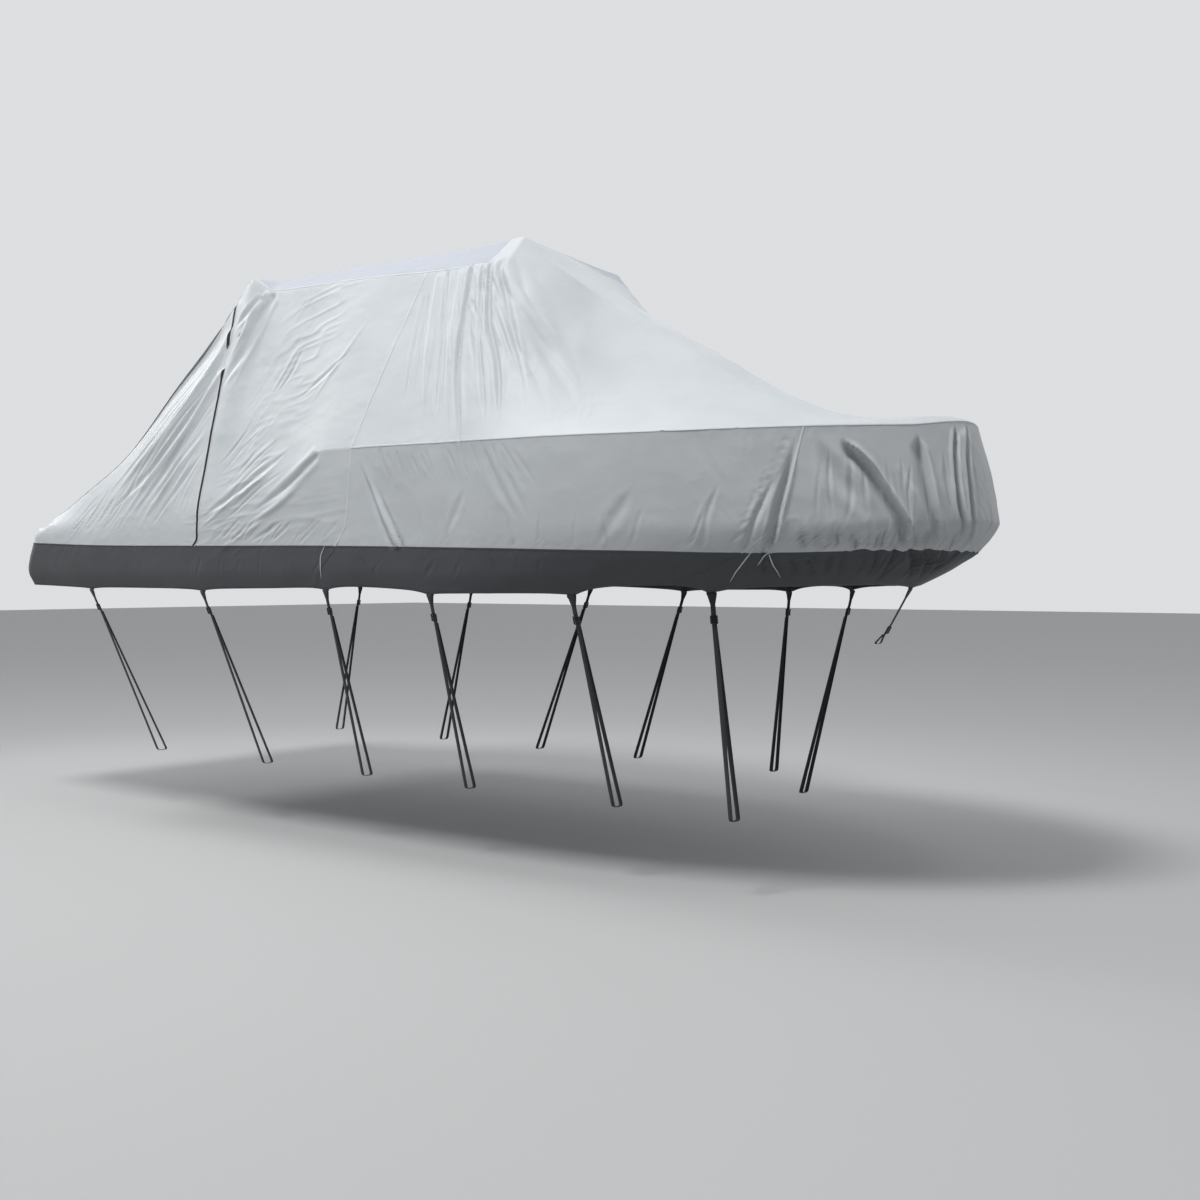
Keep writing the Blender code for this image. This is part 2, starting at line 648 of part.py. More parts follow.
# ---------------------------------------------------------------- straps and buckles
def add_ribbon(name, path, widths, depths, acrosses, material, collection):
    """A flat strip swept along a path; "acrosses" are the directions of its width."""
    path = [Vector(p) for p in path]
    bm = bmesh.new()
    rings = []
    for j, p in enumerate(path):
        across = Vector(acrosses[j]).normalized()
        ahead = (path[min(j + 1, len(path) - 1)] - p)
        behind = (p - path[max(j - 1, 0)])
        along = (ahead.normalized() if ahead.length else Vector()) + \
                (behind.normalized() if behind.length else Vector())
        face = along.normalized().cross(across).normalized()
        stretch = 1.0
        if ahead.length and behind.length:
            stretch = 1.0 / max(0.5, math.cos(0.5 * ahead.angle(behind)))
        w = across * widths[j] / 2
        d = face * depths[j] / 2 * stretch
        rings.append([bm.verts.new(q) for q in (p - w - d, p + w - d, p + w + d, p - w + d)])
    for a, b in zip(rings[:-1], rings[1:]):
        # Front and back split along the same diagonal, so a twist keeps its thickness.
        for j, m in ((0, 1), (1, 2), (3, 0)):
            bm.faces.new((a[j], a[m], b[m]))
            bm.faces.new((a[j], b[m], b[j]))
        bm.faces.new((a[2], a[3], b[2]))
        bm.faces.new((a[3], b[3], b[2]))
    bm.faces.new(rings[0][::-1])
    bm.faces.new(rings[-1])
    bmesh.ops.recalc_face_normals(bm, faces=bm.faces)
    return add_object(name, bm, material, collection)


TAB_LENGTH = 0.115          # webbing tab from the hem to the buckle
BOW_TAB_LENGTH = 0.235      # the bow's buckle hangs low, near its loop
TAB_HEM_WIDTH = 0.052
BUCKLE = (0.038, 0.042, 0.009)      # width, height, thickness
LOOP_WIDTH = 0.070          # breadth of the loop at its foot
TURN_RADIUS = 0.012
BEHIND = (BUCKLE[2] + STRAP_THICKNESS) / 2 + SEAM_GAP  # the strap lies against the buckle's back
STRAND_PART = 0.006         # the inner strand lies this much further back
TAB_GAP = 0.0002            # least clear gap between the hem's edge and the tab
TWIST_STEPS = 2             # sections along a strand where it turns with its ends
BUCKLE_EDGE = 0.002         # the tab widens to the buckle over this length
STRAP_LAP = 0.006           # the outer strand starts this far below the buckle's top
BELOW_BUCKLE = (0.030, 0.012)       # outer strand's bend, inner strand's end


def between(a, b, count):
    """Evenly spaced points from a to b, both left out."""
    return [a.lerp(b, (j + 1) / (count + 1)) for j in range(count)]


def add_strap(name, seat, foot, inboard, along, tab_length, webbing, plastic, collection):
    """Tab, buckle and looped strap between a seat at the hem and the loop's foot.

    The seat is the hem's point, its direction there and how far it dips under the tab.
    The strap's width follows the hem at the buckle and turns to "along" at the foot.
    """
    hem, tab_along, dip = seat
    foot = Vector(foot)
    inboard = Vector(inboard)
    along = Vector(along)
    run = (foot - hem).normalized()
    back = run.cross(tab_along).normalized()
    if back.dot(inboard) < 0:
        back = -back
    lean = math.hypot(run.x, run.y)
    start = hem + run * ((TAB_GAP + dip + STRAP_THICKNESS / 2 * lean) / abs(run.z))
    top = hem + run * tab_length
    low = top + run * BUCKLE[1]
    add_ribbon("buckle_" + name, [start, top, top + run * BUCKLE_EDGE, low],
               [TAB_HEM_WIDTH, STRAP_WIDTH, BUCKLE[0], BUCKLE[0]],
               [STRAP_THICKNESS, STRAP_THICKNESS, BUCKLE[2], BUCKLE[2]],
               [tab_along] * 4, plastic, collection)
    outer_top = top + run * STRAP_LAP + back * BEHIND
    outer_bend = low + run * BELOW_BUCKLE[0] + back * BEHIND
    inner_top = low + run * BELOW_BUCKLE[1] + back * (BEHIND + STRAND_PART)
    far = foot + inboard * LOOP_WIDTH
    rise = (inner_top - far).normalized()
    outer_turn = foot - run * TURN_RADIUS
    inner_turn = far + rise * TURN_RADIUS
    path = [outer_top, outer_bend, *between(outer_bend, outer_turn, TWIST_STEPS),
            outer_turn, foot + inboard * TURN_RADIUS, far - inboard * TURN_RADIUS,
            inner_turn, *between(inner_turn, inner_top, TWIST_STEPS), inner_top]
    twist = between(tab_along, along, TWIST_STEPS)
    acrosses = [tab_along] * 2 + twist + [along] * 4 + twist[::-1] + [tab_along]
    count = len(path)
    add_ribbon("strap_" + name, path, [STRAP_WIDTH] * count, [STRAP_THICKNESS] * count,
               acrosses, webbing, collection)


def hem_seat(side, where):
    """Hem point at x on one side, or at y at the bow where side is 0; direction and dip.

    The dip is how far the hem's lower skin sinks below the tab's edge across its width.
    """
    kind = "side" if side else "bow"
    axis = 0 if side else 1
    points = [NET.index[("wall", key, 0)] for key in NET.ring
              if key[0] == kind and (not side or key[2] == side)]
    points.sort(key=lambda v: SURFACE[v][axis])
    rows = SURFACE[points]
    skin = rows[:, 2] - np.abs(NORMALS[points][:, 2]) * CLOTH / 2
    half = TAB_HEM_WIDTH / 2
    low, middle, high = (Vector([float(np.interp(spot, rows[:, axis], rows[:, j]))
                                 for j in range(3)])
                         for spot in (where - half, where, where + half))
    slope = (high.z - low.z) / (2 * half)
    spots = [where - half, where, where + half]
    spots += [s for s in rows[:, axis] if abs(s - where) < half]
    dip = max(middle.z + slope * (s - where) - float(np.interp(s, rows[:, axis], skin))
              for s in spots)
    return middle, (high - low).normalized(), max(0.0, dip)


def build():
    clear_scene()
    collection = bpy.data.collections.new("boat cover")
    bpy.context.scene.collection.children.link(collection)
    grey = make_material("grey polyester", (0.50, 0.51, 0.53), 0.62)
    charcoal = make_material("charcoal polyester", (0.055, 0.058, 0.066), 0.70)
    black = make_material("black webbing", (0.012, 0.013, 0.015), 0.75)
    plastic = make_material("black plastic", (0.015, 0.015, 0.016), 0.45)
    for name, cells in sorted(sort_cells().items()):
        material = grey
        if name.startswith("band_"):
            material = charcoal
        elif name.startswith("zip_"):
            material = black
        add_sheet(name, cells, material, collection)
    for row in STRAPS:
        strap = dict(zip(STRAP_COLUMNS, row))
        side = strap["side"]
        foot = (strap["foot_x"], side * strap["foot_y"], strap["foot_z"])
        add_strap(strap["name"], hem_seat(side, strap["hem_x"]), foot,
                  (0, -side, 0), (1, 0, 0), TAB_LENGTH, black, plastic, collection)
    foot_x, foot_z = BOW_STRAP_FOOT
    add_strap("bow", hem_seat(0, 0.0), (foot_x, 0.0, foot_z), (-0.5, 0, 0), (0, 1, 0),
              BOW_TAB_LENGTH, black, plastic, collection)


build()
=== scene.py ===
import math

import bmesh
import bpy
import numpy as np
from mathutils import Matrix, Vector


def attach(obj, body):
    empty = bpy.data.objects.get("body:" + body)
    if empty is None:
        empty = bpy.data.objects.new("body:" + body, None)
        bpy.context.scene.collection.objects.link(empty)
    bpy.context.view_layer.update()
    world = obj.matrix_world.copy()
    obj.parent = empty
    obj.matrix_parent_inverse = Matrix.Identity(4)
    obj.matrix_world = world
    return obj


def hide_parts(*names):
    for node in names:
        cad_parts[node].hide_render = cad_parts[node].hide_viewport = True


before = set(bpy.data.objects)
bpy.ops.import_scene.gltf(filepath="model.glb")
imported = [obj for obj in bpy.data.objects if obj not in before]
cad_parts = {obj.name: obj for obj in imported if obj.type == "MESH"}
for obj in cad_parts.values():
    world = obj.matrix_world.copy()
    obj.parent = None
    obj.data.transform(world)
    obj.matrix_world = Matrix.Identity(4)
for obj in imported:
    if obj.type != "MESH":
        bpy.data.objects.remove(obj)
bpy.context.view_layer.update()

# Sizes are metres. The shape tables are in a design frame: x forward from the stern, y to
# port, z above the hem's lowest point. HOLD_UP moves them into the model's frame.
HOLD_UP = (3.10, 0.0, 2.02)

# ---------------------------------------------------------------- the cover's shape
LEVEL_NAMES = ("hem", "band_mid", "band_top", "bulge", "flare", "gunwale")
LEVELS = {
    "hem": dict(stern=0.000, half=1.250, radius=0.15, full=3.60, tip=6.24),
    "band_mid": dict(stern=-0.035, half=1.275, radius=0.15, full=3.70, tip=6.41),
    "band_top": dict(stern=0.045, half=1.280, radius=0.15, full=3.80, tip=6.55),
    "bulge": dict(stern=0.055, half=1.280, radius=0.15, full=3.90, tip=6.665),
    "flare": dict(stern=0.062, half=1.275, radius=0.16, full=4.00, tip=6.62),
    "gunwale": dict(stern=0.075, half=1.265, radius=0.18, full=4.10, tip=6.545),
}
STERN_NARROWING = 0.030     # share of the half beam lost between "full" and the stern
BOW_POWER_X = 2.5
BOW_POWER_Y = 1.80
BOW_CORNER = 0.46           # share of the half beam where side columns give way to the bow

HEIGHT_X = (0.0, 1.0, 2.1, 2.75, 3.22, 4.2, 5.2, 5.9, 6.4, 6.6)
HEIGHTS = {
    "hem": (0.034, 0.012, 0.006, 0.010, 0.018, -0.008, 0.000, 0.025, 0.030, 0.030),
    "band_mid": (0.140, 0.130, 0.130, 0.130, 0.135, 0.110, 0.105, 0.110, 0.115, 0.115),
    "band_top": (0.335, 0.300, 0.280, 0.270, 0.262, 0.238, 0.212, 0.197, 0.206, 0.210),
    "bulge": (0.365, 0.335, 0.335, 0.350, 0.400, 0.380, 0.360, 0.350, 0.350, 0.355),
    "flare": (0.400, 0.385, 0.400, 0.460, 0.600, 0.585, 0.560, 0.550, 0.570, 0.590),
    "gunwale": (0.435, 0.450, 0.490, 0.600, 0.815, 0.800, 0.792, 0.798, 0.816, 0.872),
}

SECTION_PARTS = ("shoulder", "shoulder_z", "crown", "crown_z", "centre_z")
# Each row: x, and then the section's parts there.
SECTIONS = (
    (0.08, 1.12, 0.450, 0.70, 0.465, 0.470),
    (0.51, 1.12, 0.640, 0.70, 0.660, 0.665),
    (0.93, 1.08, 0.862, 0.70, 0.887, 0.892),
    (1.30, 1.03, 1.250, 0.70, 1.275, 1.280),
    (1.70, 0.95, 1.640, 0.74, 1.660, 1.665),
    (1.98, 0.89, 1.892, 0.80, 1.907, 1.912),
    (2.10, 0.88, 2.006, 0.79, 2.020, 2.022),
    (2.28, 0.86, 1.925, 0.75, 2.000, 2.010),
    (3.20, 0.86, 1.880, 0.66, 2.010, 2.024),
    (3.85, 0.84, 1.835, 0.60, 2.024, 2.026),
    (4.04, 0.80, 1.812, 0.57, 2.036, 2.030),
    (4.07, 0.797, 1.786, 0.556, 2.011, 2.006),
    (4.20, 0.78, 1.665, 0.50, 1.885, 1.894),
    (4.50, 0.72, 1.382, 0.27, 1.652, 1.685),
    (5.00, 0.68, 1.040, 0.16, 1.350, 1.385),
    (5.60, 0.60, 0.880, 0.18, 1.010, 1.045),
    (5.85, 0.52, 0.842, 0.20, 0.925, 0.948),
    (6.20, 0.38, 0.852, 0.18, 0.878, 0.886),
    (6.60, 0.10, 0.880, 0.05, 0.881, 0.882),
)
CREASE_ROUNDING = 0.009     # half width over which the section's corners are rounded
SHOULDER_LIMIT = 0.92
CROWN_LIMIT = 0.90
ROOF_SKEW = 0.147
ROOF_SKEW_RANGE = (3.2, 3.9, 4.3, 4.9)

SHOULDER_STEPS = (0.0, 0.22, 0.44, 0.66, 0.765, 1.0)
CROWN_STEPS = (0.5, 1.0)
CENTRE_STEPS = (0.5, 1.0)
LINES = len(SHOULDER_STEPS) - 1 + len(CROWN_STEPS) + len(CENTRE_STEPS)
SHOULDER_LINE = len(SHOULDER_STEPS) - 1
BAND_TOP_LEVEL = 2

BOW_STRAIGHTNESS = 0.45     # how far the bow's wall is straight from level to level
BOW_STRAIGHT_X = (6.1, 6.5)
BOW_STRAIGHT_Y = (-0.40, 0.0)

COLUMN_STEP = 0.16
FINE_COLUMNS = (
    (2.35, 3.30, 0.095),
    (3.44, 4.60, 0.056),
    (5.60, 6.50, 0.055),
)
ZIP_X = 2.02
ZIP_WIDTH = 0.030
SEAM_X = 3.44
BOW_SEAM_X = 6.05
ROOF_REAR_X = 2.10
ROOF_FRONT_X = 4.06
CREST_COLUMN_X = 2.20
EVEN_BOW_X = 5.45
COARSE_EVENING = 400
FINE_EVENING = 80
LEAN_X = (1.30, 2.02, 2.70, 3.44, 4.06, 5.20, 6.05)    # and the side's foremost column
LEAN_TOP = (0.0, -0.09, 0.0, 0.20, 0.0, 0.0, 0.0, 0.0)
LEAN_HEM = (0.0, 0.02, 0.0, -0.10, 0.0, 0.0, -0.32, 0.0)
LEAN_SHARES = (1.0, 0.87, 0.74, 0.55, 0.29, 0.0)    # share of the hem's lean at each level

# The cloth's net: steps within each level of the wall, within each coarse line of the
# top's half, and along the cover, finer where folds gather.
LEVEL_SPLITS = (8, 12, 9, 16, 17)
BAND_TOP_ROW = sum(LEVEL_SPLITS[:BAND_TOP_LEVEL])
STARBOARD_SPLITS = (34, 34, 34, 16, 34, 14, 14, 14, 14)
PORT_SPLITS = (16, 16, 16, 8, 16, 12, 12, 12, 12)
FINE_STEP = 0.013
FINE_STEPS = (
    (2.00, 3.35, 0.009),
    (3.44, 4.95, 0.008),
    (5.55, 6.05, 0.008),
    (6.05, 6.50, 0.0042),
)

# ---------------------------------------------------------------- folds
BOW_CENTRE_X = 5.30
BOW_ARC = 1.05
SIDE_FADE = (0.02, 0.10)    # half breadth over which a side's folds set in
REACH = 3.4                 # a fold acts within this many half widths of its line

STARBOARD, PORT = -1, 1     # the sides, by the sign of y
# Shares of a fold's length over which it sets in and fades.
ENDS = {"soft": (0.40, 0.50), "head": (0.05, 0.55), "foot": (0.50, 0.06), "through": (0.06, 0.06),
        "long": (0.06, 0.30), "full": (0.15, 0.14)}
# Each fold: profile, ends, depth and half width in millimetres, and then the points of the
# line that it follows, each a girth and a z. Girth is x along the side, and runs on round the
# bow as an arc about BOW_CENTRE_X.
STARBOARD_FOLDS = (
    # upper side, gathered below the roof's front corner
    ("crease", "long", 12, 18, 3.80, 1.86, 3.93, 1.30, 4.07, 0.84),
    ("ridge", "head", 9, 20, 3.74, 1.84, 3.84, 1.34, 3.98, 0.86),
    ("crease", "long", 24, 17, 3.96, 1.88, 4.09, 1.23, 4.26, 0.82, 4.34, 0.62),
    ("ridge", "long", 9, 18, 3.90, 1.85, 4.02, 1.25, 4.18, 0.84),
    ("crease", "long", 15, 14, 4.03, 1.88, 4.18, 1.38, 4.28, 1.14, 4.43, 0.82),
    ("crease", "long", 21, 16, 4.07, 1.89, 4.18, 1.52, 4.31, 1.27, 4.50, 0.84),
    ("ridge", "head", 10, 18, 4.02, 1.84, 4.13, 1.52, 4.25, 1.26, 4.40, 0.90),
    ("crease", "head", 17, 17, 4.11, 1.90, 4.31, 1.48, 4.56, 1.02),
    ("crease", "soft", 12, 20, 4.16, 1.90, 4.32, 1.66, 4.54, 1.36),
    ("trough", "soft", 8, 26, 4.22, 1.88, 4.44, 1.55, 4.70, 1.18),
    ("trough", "soft", 8, 22, 4.30, 1.62, 4.53, 1.28, 4.86, 0.92),
    ("trough", "soft", 6, 20, 4.34, 1.47, 4.52, 1.18, 4.74, 0.90),
    ("ridge", "soft", 4, 16, 4.16, 1.98, 4.60, 1.60, 4.98, 1.26),
    # wrinkles under the roof's edge
    ("crease", "soft", 6, 16, 2.74, 1.53, 2.66, 1.34, 2.54, 1.18),
    ("crease", "soft", 5, 15, 3.24, 1.44, 2.97, 1.26, 2.72, 1.12),
    ("ridge", "soft", 4, 12, 2.70, 1.56, 2.60, 1.36, 2.46, 1.16),
    ("ridge", "soft", 4, 14, 3.30, 1.66, 3.12, 1.36, 2.86, 1.02),
    # folds from the roof's rear corner over the gap between the two zips
    ("ridge", "head", 10, 14, 2.25, 1.92, 2.17, 1.81, 2.12, 1.645, 2.055, 1.535, 1.97, 1.40),
    ("trough", "long", 14, 30, 2.32, 1.90, 2.22, 1.73, 2.155, 1.55, 2.05, 1.375, 2.01, 1.28),
    ("ridge", "soft", 7, 16, 2.35, 1.81, 2.235, 1.55, 2.145, 1.345, 2.09, 1.22),
    ("trough", "long", 10, 20, 2.215, 1.88, 2.12, 1.79, 2.02, 1.695),
    ("crease", "soft", 9, 9, 2.11, 1.65, 2.05, 1.62),
    # diagonals behind the gunwale's rear end
    ("crease", "soft", 12, 26, 2.86, 0.86, 2.40, 0.61, 2.03, 0.42),
    ("ridge", "soft", 12, 20, 2.78, 0.76, 2.36, 0.54, 2.04, 0.37),
    ("crease", "head", 14, 28, 3.17, 0.80, 2.92, 0.64, 2.55, 0.46),
    ("ridge", "soft", 12, 22, 3.05, 0.64, 2.84, 0.52, 2.50, 0.38),
    ("ridge", "soft", 7, 18, 2.74, 0.44, 2.58, 0.37, 2.40, 0.30),
    ("crease", "soft", 7, 16, 2.90, 0.43, 2.74, 0.36, 2.56, 0.29),
    # long folds from the roof's rear corner to the stern
    ("ridge", "head", 18, 36, 1.99, 1.72, 1.76, 1.34, 1.46, 1.00, 1.12, 0.72, 0.86, 0.42),
    ("trough", "soft", 12, 30, 1.97, 1.56, 1.74, 1.14, 1.42, 0.80, 1.08, 0.54, 0.94, 0.38),
    ("ridge", "head", 13, 28, 1.98, 1.44, 1.68, 1.00, 1.36, 0.66, 1.12, 0.36),
    ("trough", "soft", 8, 26, 1.97, 1.26, 1.66, 0.86, 1.40, 0.56, 1.26, 0.34),
    ("ridge", "soft", 11, 28, 1.99, 1.08, 1.72, 0.76, 1.50, 0.52, 1.38, 0.34),
    ("crease", "soft", 7, 20, 1.99, 0.92, 1.75, 0.64, 1.50, 0.36),
    ("crease", "soft", 7, 15, 1.38, 0.92, 1.16, 0.58, 0.98, 0.34),
    ("crease", "soft", 6, 13, 0.98, 0.76, 0.84, 0.54, 0.72, 0.35),
    ("crease", "soft", 6, 12, 1.10, 0.72, 0.96, 0.48, 0.88, 0.34),
    # side below the gunwale
    ("trough", "soft", 9, 24, 4.42, 0.80, 4.52, 0.59, 4.69, 0.34),
    ("trough", "soft", 6, 18, 4.55, 0.68, 4.64, 0.54, 4.74, 0.36),
    ("lap", "foot", 20, 17, 3.50, 0.76, 3.64, 0.52, 3.80, 0.24),
    ("ridge", "foot", 12, 15, 3.56, 0.70, 3.70, 0.46, 3.84, 0.23),
    ("crease", "foot", 11, 13, 3.64, 0.62, 3.76, 0.42, 3.88, 0.23),
    ("trough", "soft", 4, 20, 4.33, 0.57, 4.25, 0.42, 4.16, 0.27),
    ("trough", "soft", 6, 28, 5.32, 0.54, 5.20, 0.36, 5.09, 0.22),
    ("crease", "foot", 6, 16, 5.72, 0.56, 5.65, 0.38, 5.62, 0.22),
    # bow corner
    ("lap", "foot", 32, 19, 6.07, 0.76, 6.02, 0.56, 5.98, 0.40, 5.95, 0.22),
    ("ridge", "foot", 14, 15, 6.03, 0.66, 5.95, 0.44, 5.91, 0.24),
    ("crease", "foot", 13, 16, 5.97, 0.58, 5.88, 0.38, 5.82, 0.21),
    ("ridge", "through", 7, 12, 5.86, 0.22, 5.80, 0.14, 5.73, 0.06),
    ("ridge", "through", 6, 11, 5.94, 0.21, 5.89, 0.17, 5.84, 0.12),
    ("ridge", "through", 6, 11, 5.93, 0.22, 5.96, 0.15, 6.01, 0.08),
    ("crease", "through", 14, 12, 5.92, 0.26, 5.91, 0.20, 5.93, 0.10),
    # bow skirt
    ("trough", "soft", 16, 34, 6.14, 0.76, 6.22, 0.59, 6.32, 0.44, 6.38, 0.30),
    ("lap", "full", 50, 21, 6.25, 0.735, 6.36, 0.615, 6.435, 0.48, 6.50, 0.35, 6.565, 0.21),
    ("ridge", "soft", 12, 22, 6.49, 0.62, 6.58, 0.40, 6.63, 0.22),
    ("lap", "full", 36, 20, 6.61, 0.77, 6.62, 0.60, 6.63, 0.44, 6.69, 0.21),
    ("crease", "long", 36, 12, 6.82, 0.81, 6.77, 0.65, 6.75, 0.44, 6.81, 0.22),
    ("crease", "long", 38, 12, 6.91, 0.83, 6.83, 0.61, 6.81, 0.36, 6.88, 0.22),
    ("ridge", "through", 12, 12, 6.86, 0.81, 6.80, 0.62, 6.78, 0.40, 6.84, 0.24),
    ("crease", "soft", 10, 12, 6.96, 0.76, 6.92, 0.48, 6.94, 0.30),
    # bow band
    ("crease", "head", 18, 16, 6.50, 0.24, 6.56, 0.12, 6.62, 0.04),
    ("crease", "head", 22, 18, 6.57, 0.22, 6.70, 0.13, 6.84, 0.05),
    ("crease", "head", 18, 15, 6.66, 0.21, 6.78, 0.13, 6.90, 0.06),
    ("crease", "head", 14, 14, 6.74, 0.22, 6.84, 0.14, 6.92, 0.07),
)
# The far side, the same hang with fewer folds.
PORT_FOLDS = (
    ("crease", "head", 15, 28, 3.84, 1.76, 3.95, 1.32, 4.10, 0.84),
    ("crease", "through", 18, 22, 4.00, 1.74, 4.12, 1.25, 4.30, 0.70),
    ("crease", "head", 13, 24, 4.14, 1.76, 4.28, 1.32, 4.50, 0.83),
    ("crease", "head", 11, 26, 4.22, 1.82, 4.48, 1.44, 4.80, 1.02),
    ("crease", "foot", 14, 20, 3.58, 0.72, 3.70, 0.45, 3.80, 0.24),
    ("trough", "soft", 10, 30, 4.46, 0.78, 4.58, 0.56, 4.70, 0.32),
    ("crease", "soft", 14, 30, 2.82, 0.82, 2.45, 0.62, 2.06, 0.44),
    ("crease", "head", 14, 30, 3.14, 0.80, 2.90, 0.64, 2.58, 0.47),
    ("trough", "head", 16, 50, 2.14, 1.88, 1.70, 1.38, 1.16, 0.40),
    ("crease", "soft", 12, 36, 1.88, 1.36, 1.38, 0.86, 0.88, 0.36),
    ("crease", "foot", 20, 20, 6.05, 0.74, 5.98, 0.46, 5.93, 0.21),
    ("crease", "head", 28, 24, 6.28, 0.74, 6.40, 0.50, 6.52, 0.20),
    ("crease", "head", 22, 20, 6.60, 0.76, 6.63, 0.48, 6.70, 0.20),
)
# Families of lesser folds: profile, ends, count, least and greatest depth and half width in
# millimetres, seed, and two lines. Each fold runs from a place on the first line to the like
# place on the second.
STARBOARD_FAMILIES = (
    # below the roof's edge towards its front corner
    ("crease", "head", 13, (3, 8), (9, 15), 21,
     ((3.62, 1.88), (4.04, 1.86), (4.16, 1.84)), ((3.72, 0.92), (4.40, 0.90), (4.95, 1.05))),
    ("ridge", "soft", 9, (2, 5), (10, 18), 22,
     ((3.76, 1.60), (4.14, 1.74)), ((3.90, 1.02), (4.70, 1.10))),
    # hanging from the gunwale
    ("crease", "head", 14, (3, 7), (7, 13), 23,
     ((3.62, 0.80), (4.66, 0.78)), ((3.74, 0.56), (4.84, 0.50))),
    ("crease", "foot", 9, (2, 5), (8, 16), 24,
     ((3.90, 0.50), (5.70, 0.46)), ((3.96, 0.25), (5.64, 0.21))),
    # rear side, fanning to the stern
    ("crease", "soft", 15, (2, 6), (9, 18), 25,
     ((2.02, 1.78), (1.98, 1.30), (1.99, 0.80)), ((0.66, 0.40), (1.16, 0.34), (1.86, 0.34))),
    ("ridge", "soft", 9, (2, 5), (9, 16), 26,
     ((2.00, 1.60), (1.97, 1.10), (1.98, 0.74)), ((0.80, 0.38), (1.30, 0.34), (1.90, 0.34))),
    ("crease", "foot", 10, (3, 6), (7, 11), 27,
     ((0.86, 0.74), (1.30, 0.80)), ((0.56, 0.37), (1.02, 0.35))),
    # ahead of the zip, falling back to it
    ("crease", "soft", 11, (2, 5), (8, 15), 28,
     ((2.52, 1.30), (2.95, 0.76)), ((2.06, 0.74), (2.20, 0.32))),
    ("crease", "foot", 12, (2, 5), (7, 12), 29,
     ((2.40, 0.48), (3.44, 0.46)), ((2.18, 0.29), (3.20, 0.28))),
    # puckers along the bow corner's seam
    ("crease", "head", 26, (2, 5), (5, 8), 30,
     ((6.08, 0.76), (6.00, 0.62), (5.92, 0.46), (5.82, 0.27)),
     ((5.93, 0.72), (5.86, 0.55), (5.78, 0.38), (5.70, 0.22))),
    # bow skirt
    ("crease", "soft", 12, (3, 8), (9, 15), 31,
     ((6.12, 0.76), (6.96, 0.82)), ((6.10, 0.24), (6.95, 0.24))),
    ("crease", "foot", 22, (11, 22), (8, 13), 32,
     ((6.05, 0.32), (6.90, 0.33)), ((6.10, 0.215), (6.95, 0.22))),
    # band
    ("crease", "soft", 34, (1, 3), (8, 20), 33,
     ((0.30, 0.30), (5.80, 0.20)), ((0.42, 0.03), (5.72, 0.02))),
    ("crease", "head", 15, (6, 14), (8, 13), 34,
     ((5.90, 0.21), (6.95, 0.22)), ((6.02, 0.04), (6.94, 0.06))),
)
PORT_FAMILIES = (
    ("crease", "head", 9, (3, 8), (12, 20), 41,
     ((3.70, 1.82), (4.00, 1.82), (4.16, 1.96)), ((3.78, 0.92), (4.40, 0.90), (4.95, 1.05))),
    ("crease", "head", 9, (3, 7), (10, 16), 42,
     ((3.62, 0.80), (4.80, 0.78)), ((3.74, 0.56), (4.95, 0.50))),
    ("crease", "soft", 13, (3, 7), (12, 22), 43,
     ((2.05, 1.78), (1.98, 1.30), (2.05, 0.80)), ((0.60, 0.42), (1.16, 0.34), (1.95, 0.34))),
    ("crease", "soft", 12, (3, 8), (10, 16), 44,
     ((6.12, 0.76), (6.96, 0.82)), ((6.10, 0.24), (6.95, 0.24))),
    ("crease", "foot", 15, (5, 10), (8, 12), 45,
     ((6.05, 0.32), (6.90, 0.33)), ((6.10, 0.215), (6.95, 0.22))),
    ("crease", "soft", 26, (1, 3), (10, 20), 46,
     ((0.30, 0.30), (5.80, 0.20)), ((0.42, 0.03), (5.72, 0.02))),
    ("crease", "soft", 12, (2, 5), (10, 18), 47,
     ((2.30, 1.60), (3.30, 1.60)), ((2.20, 0.70), (3.30, 0.90))),
)
# A family's unevenness: of place in steps, and of slant, length and bend as shares.
UNEVEN_PLACE = 0.38
UNEVEN_SLANT = 0.04
UNEVEN_LENGTH = 0.25
UNEVEN_BEND = 0.05
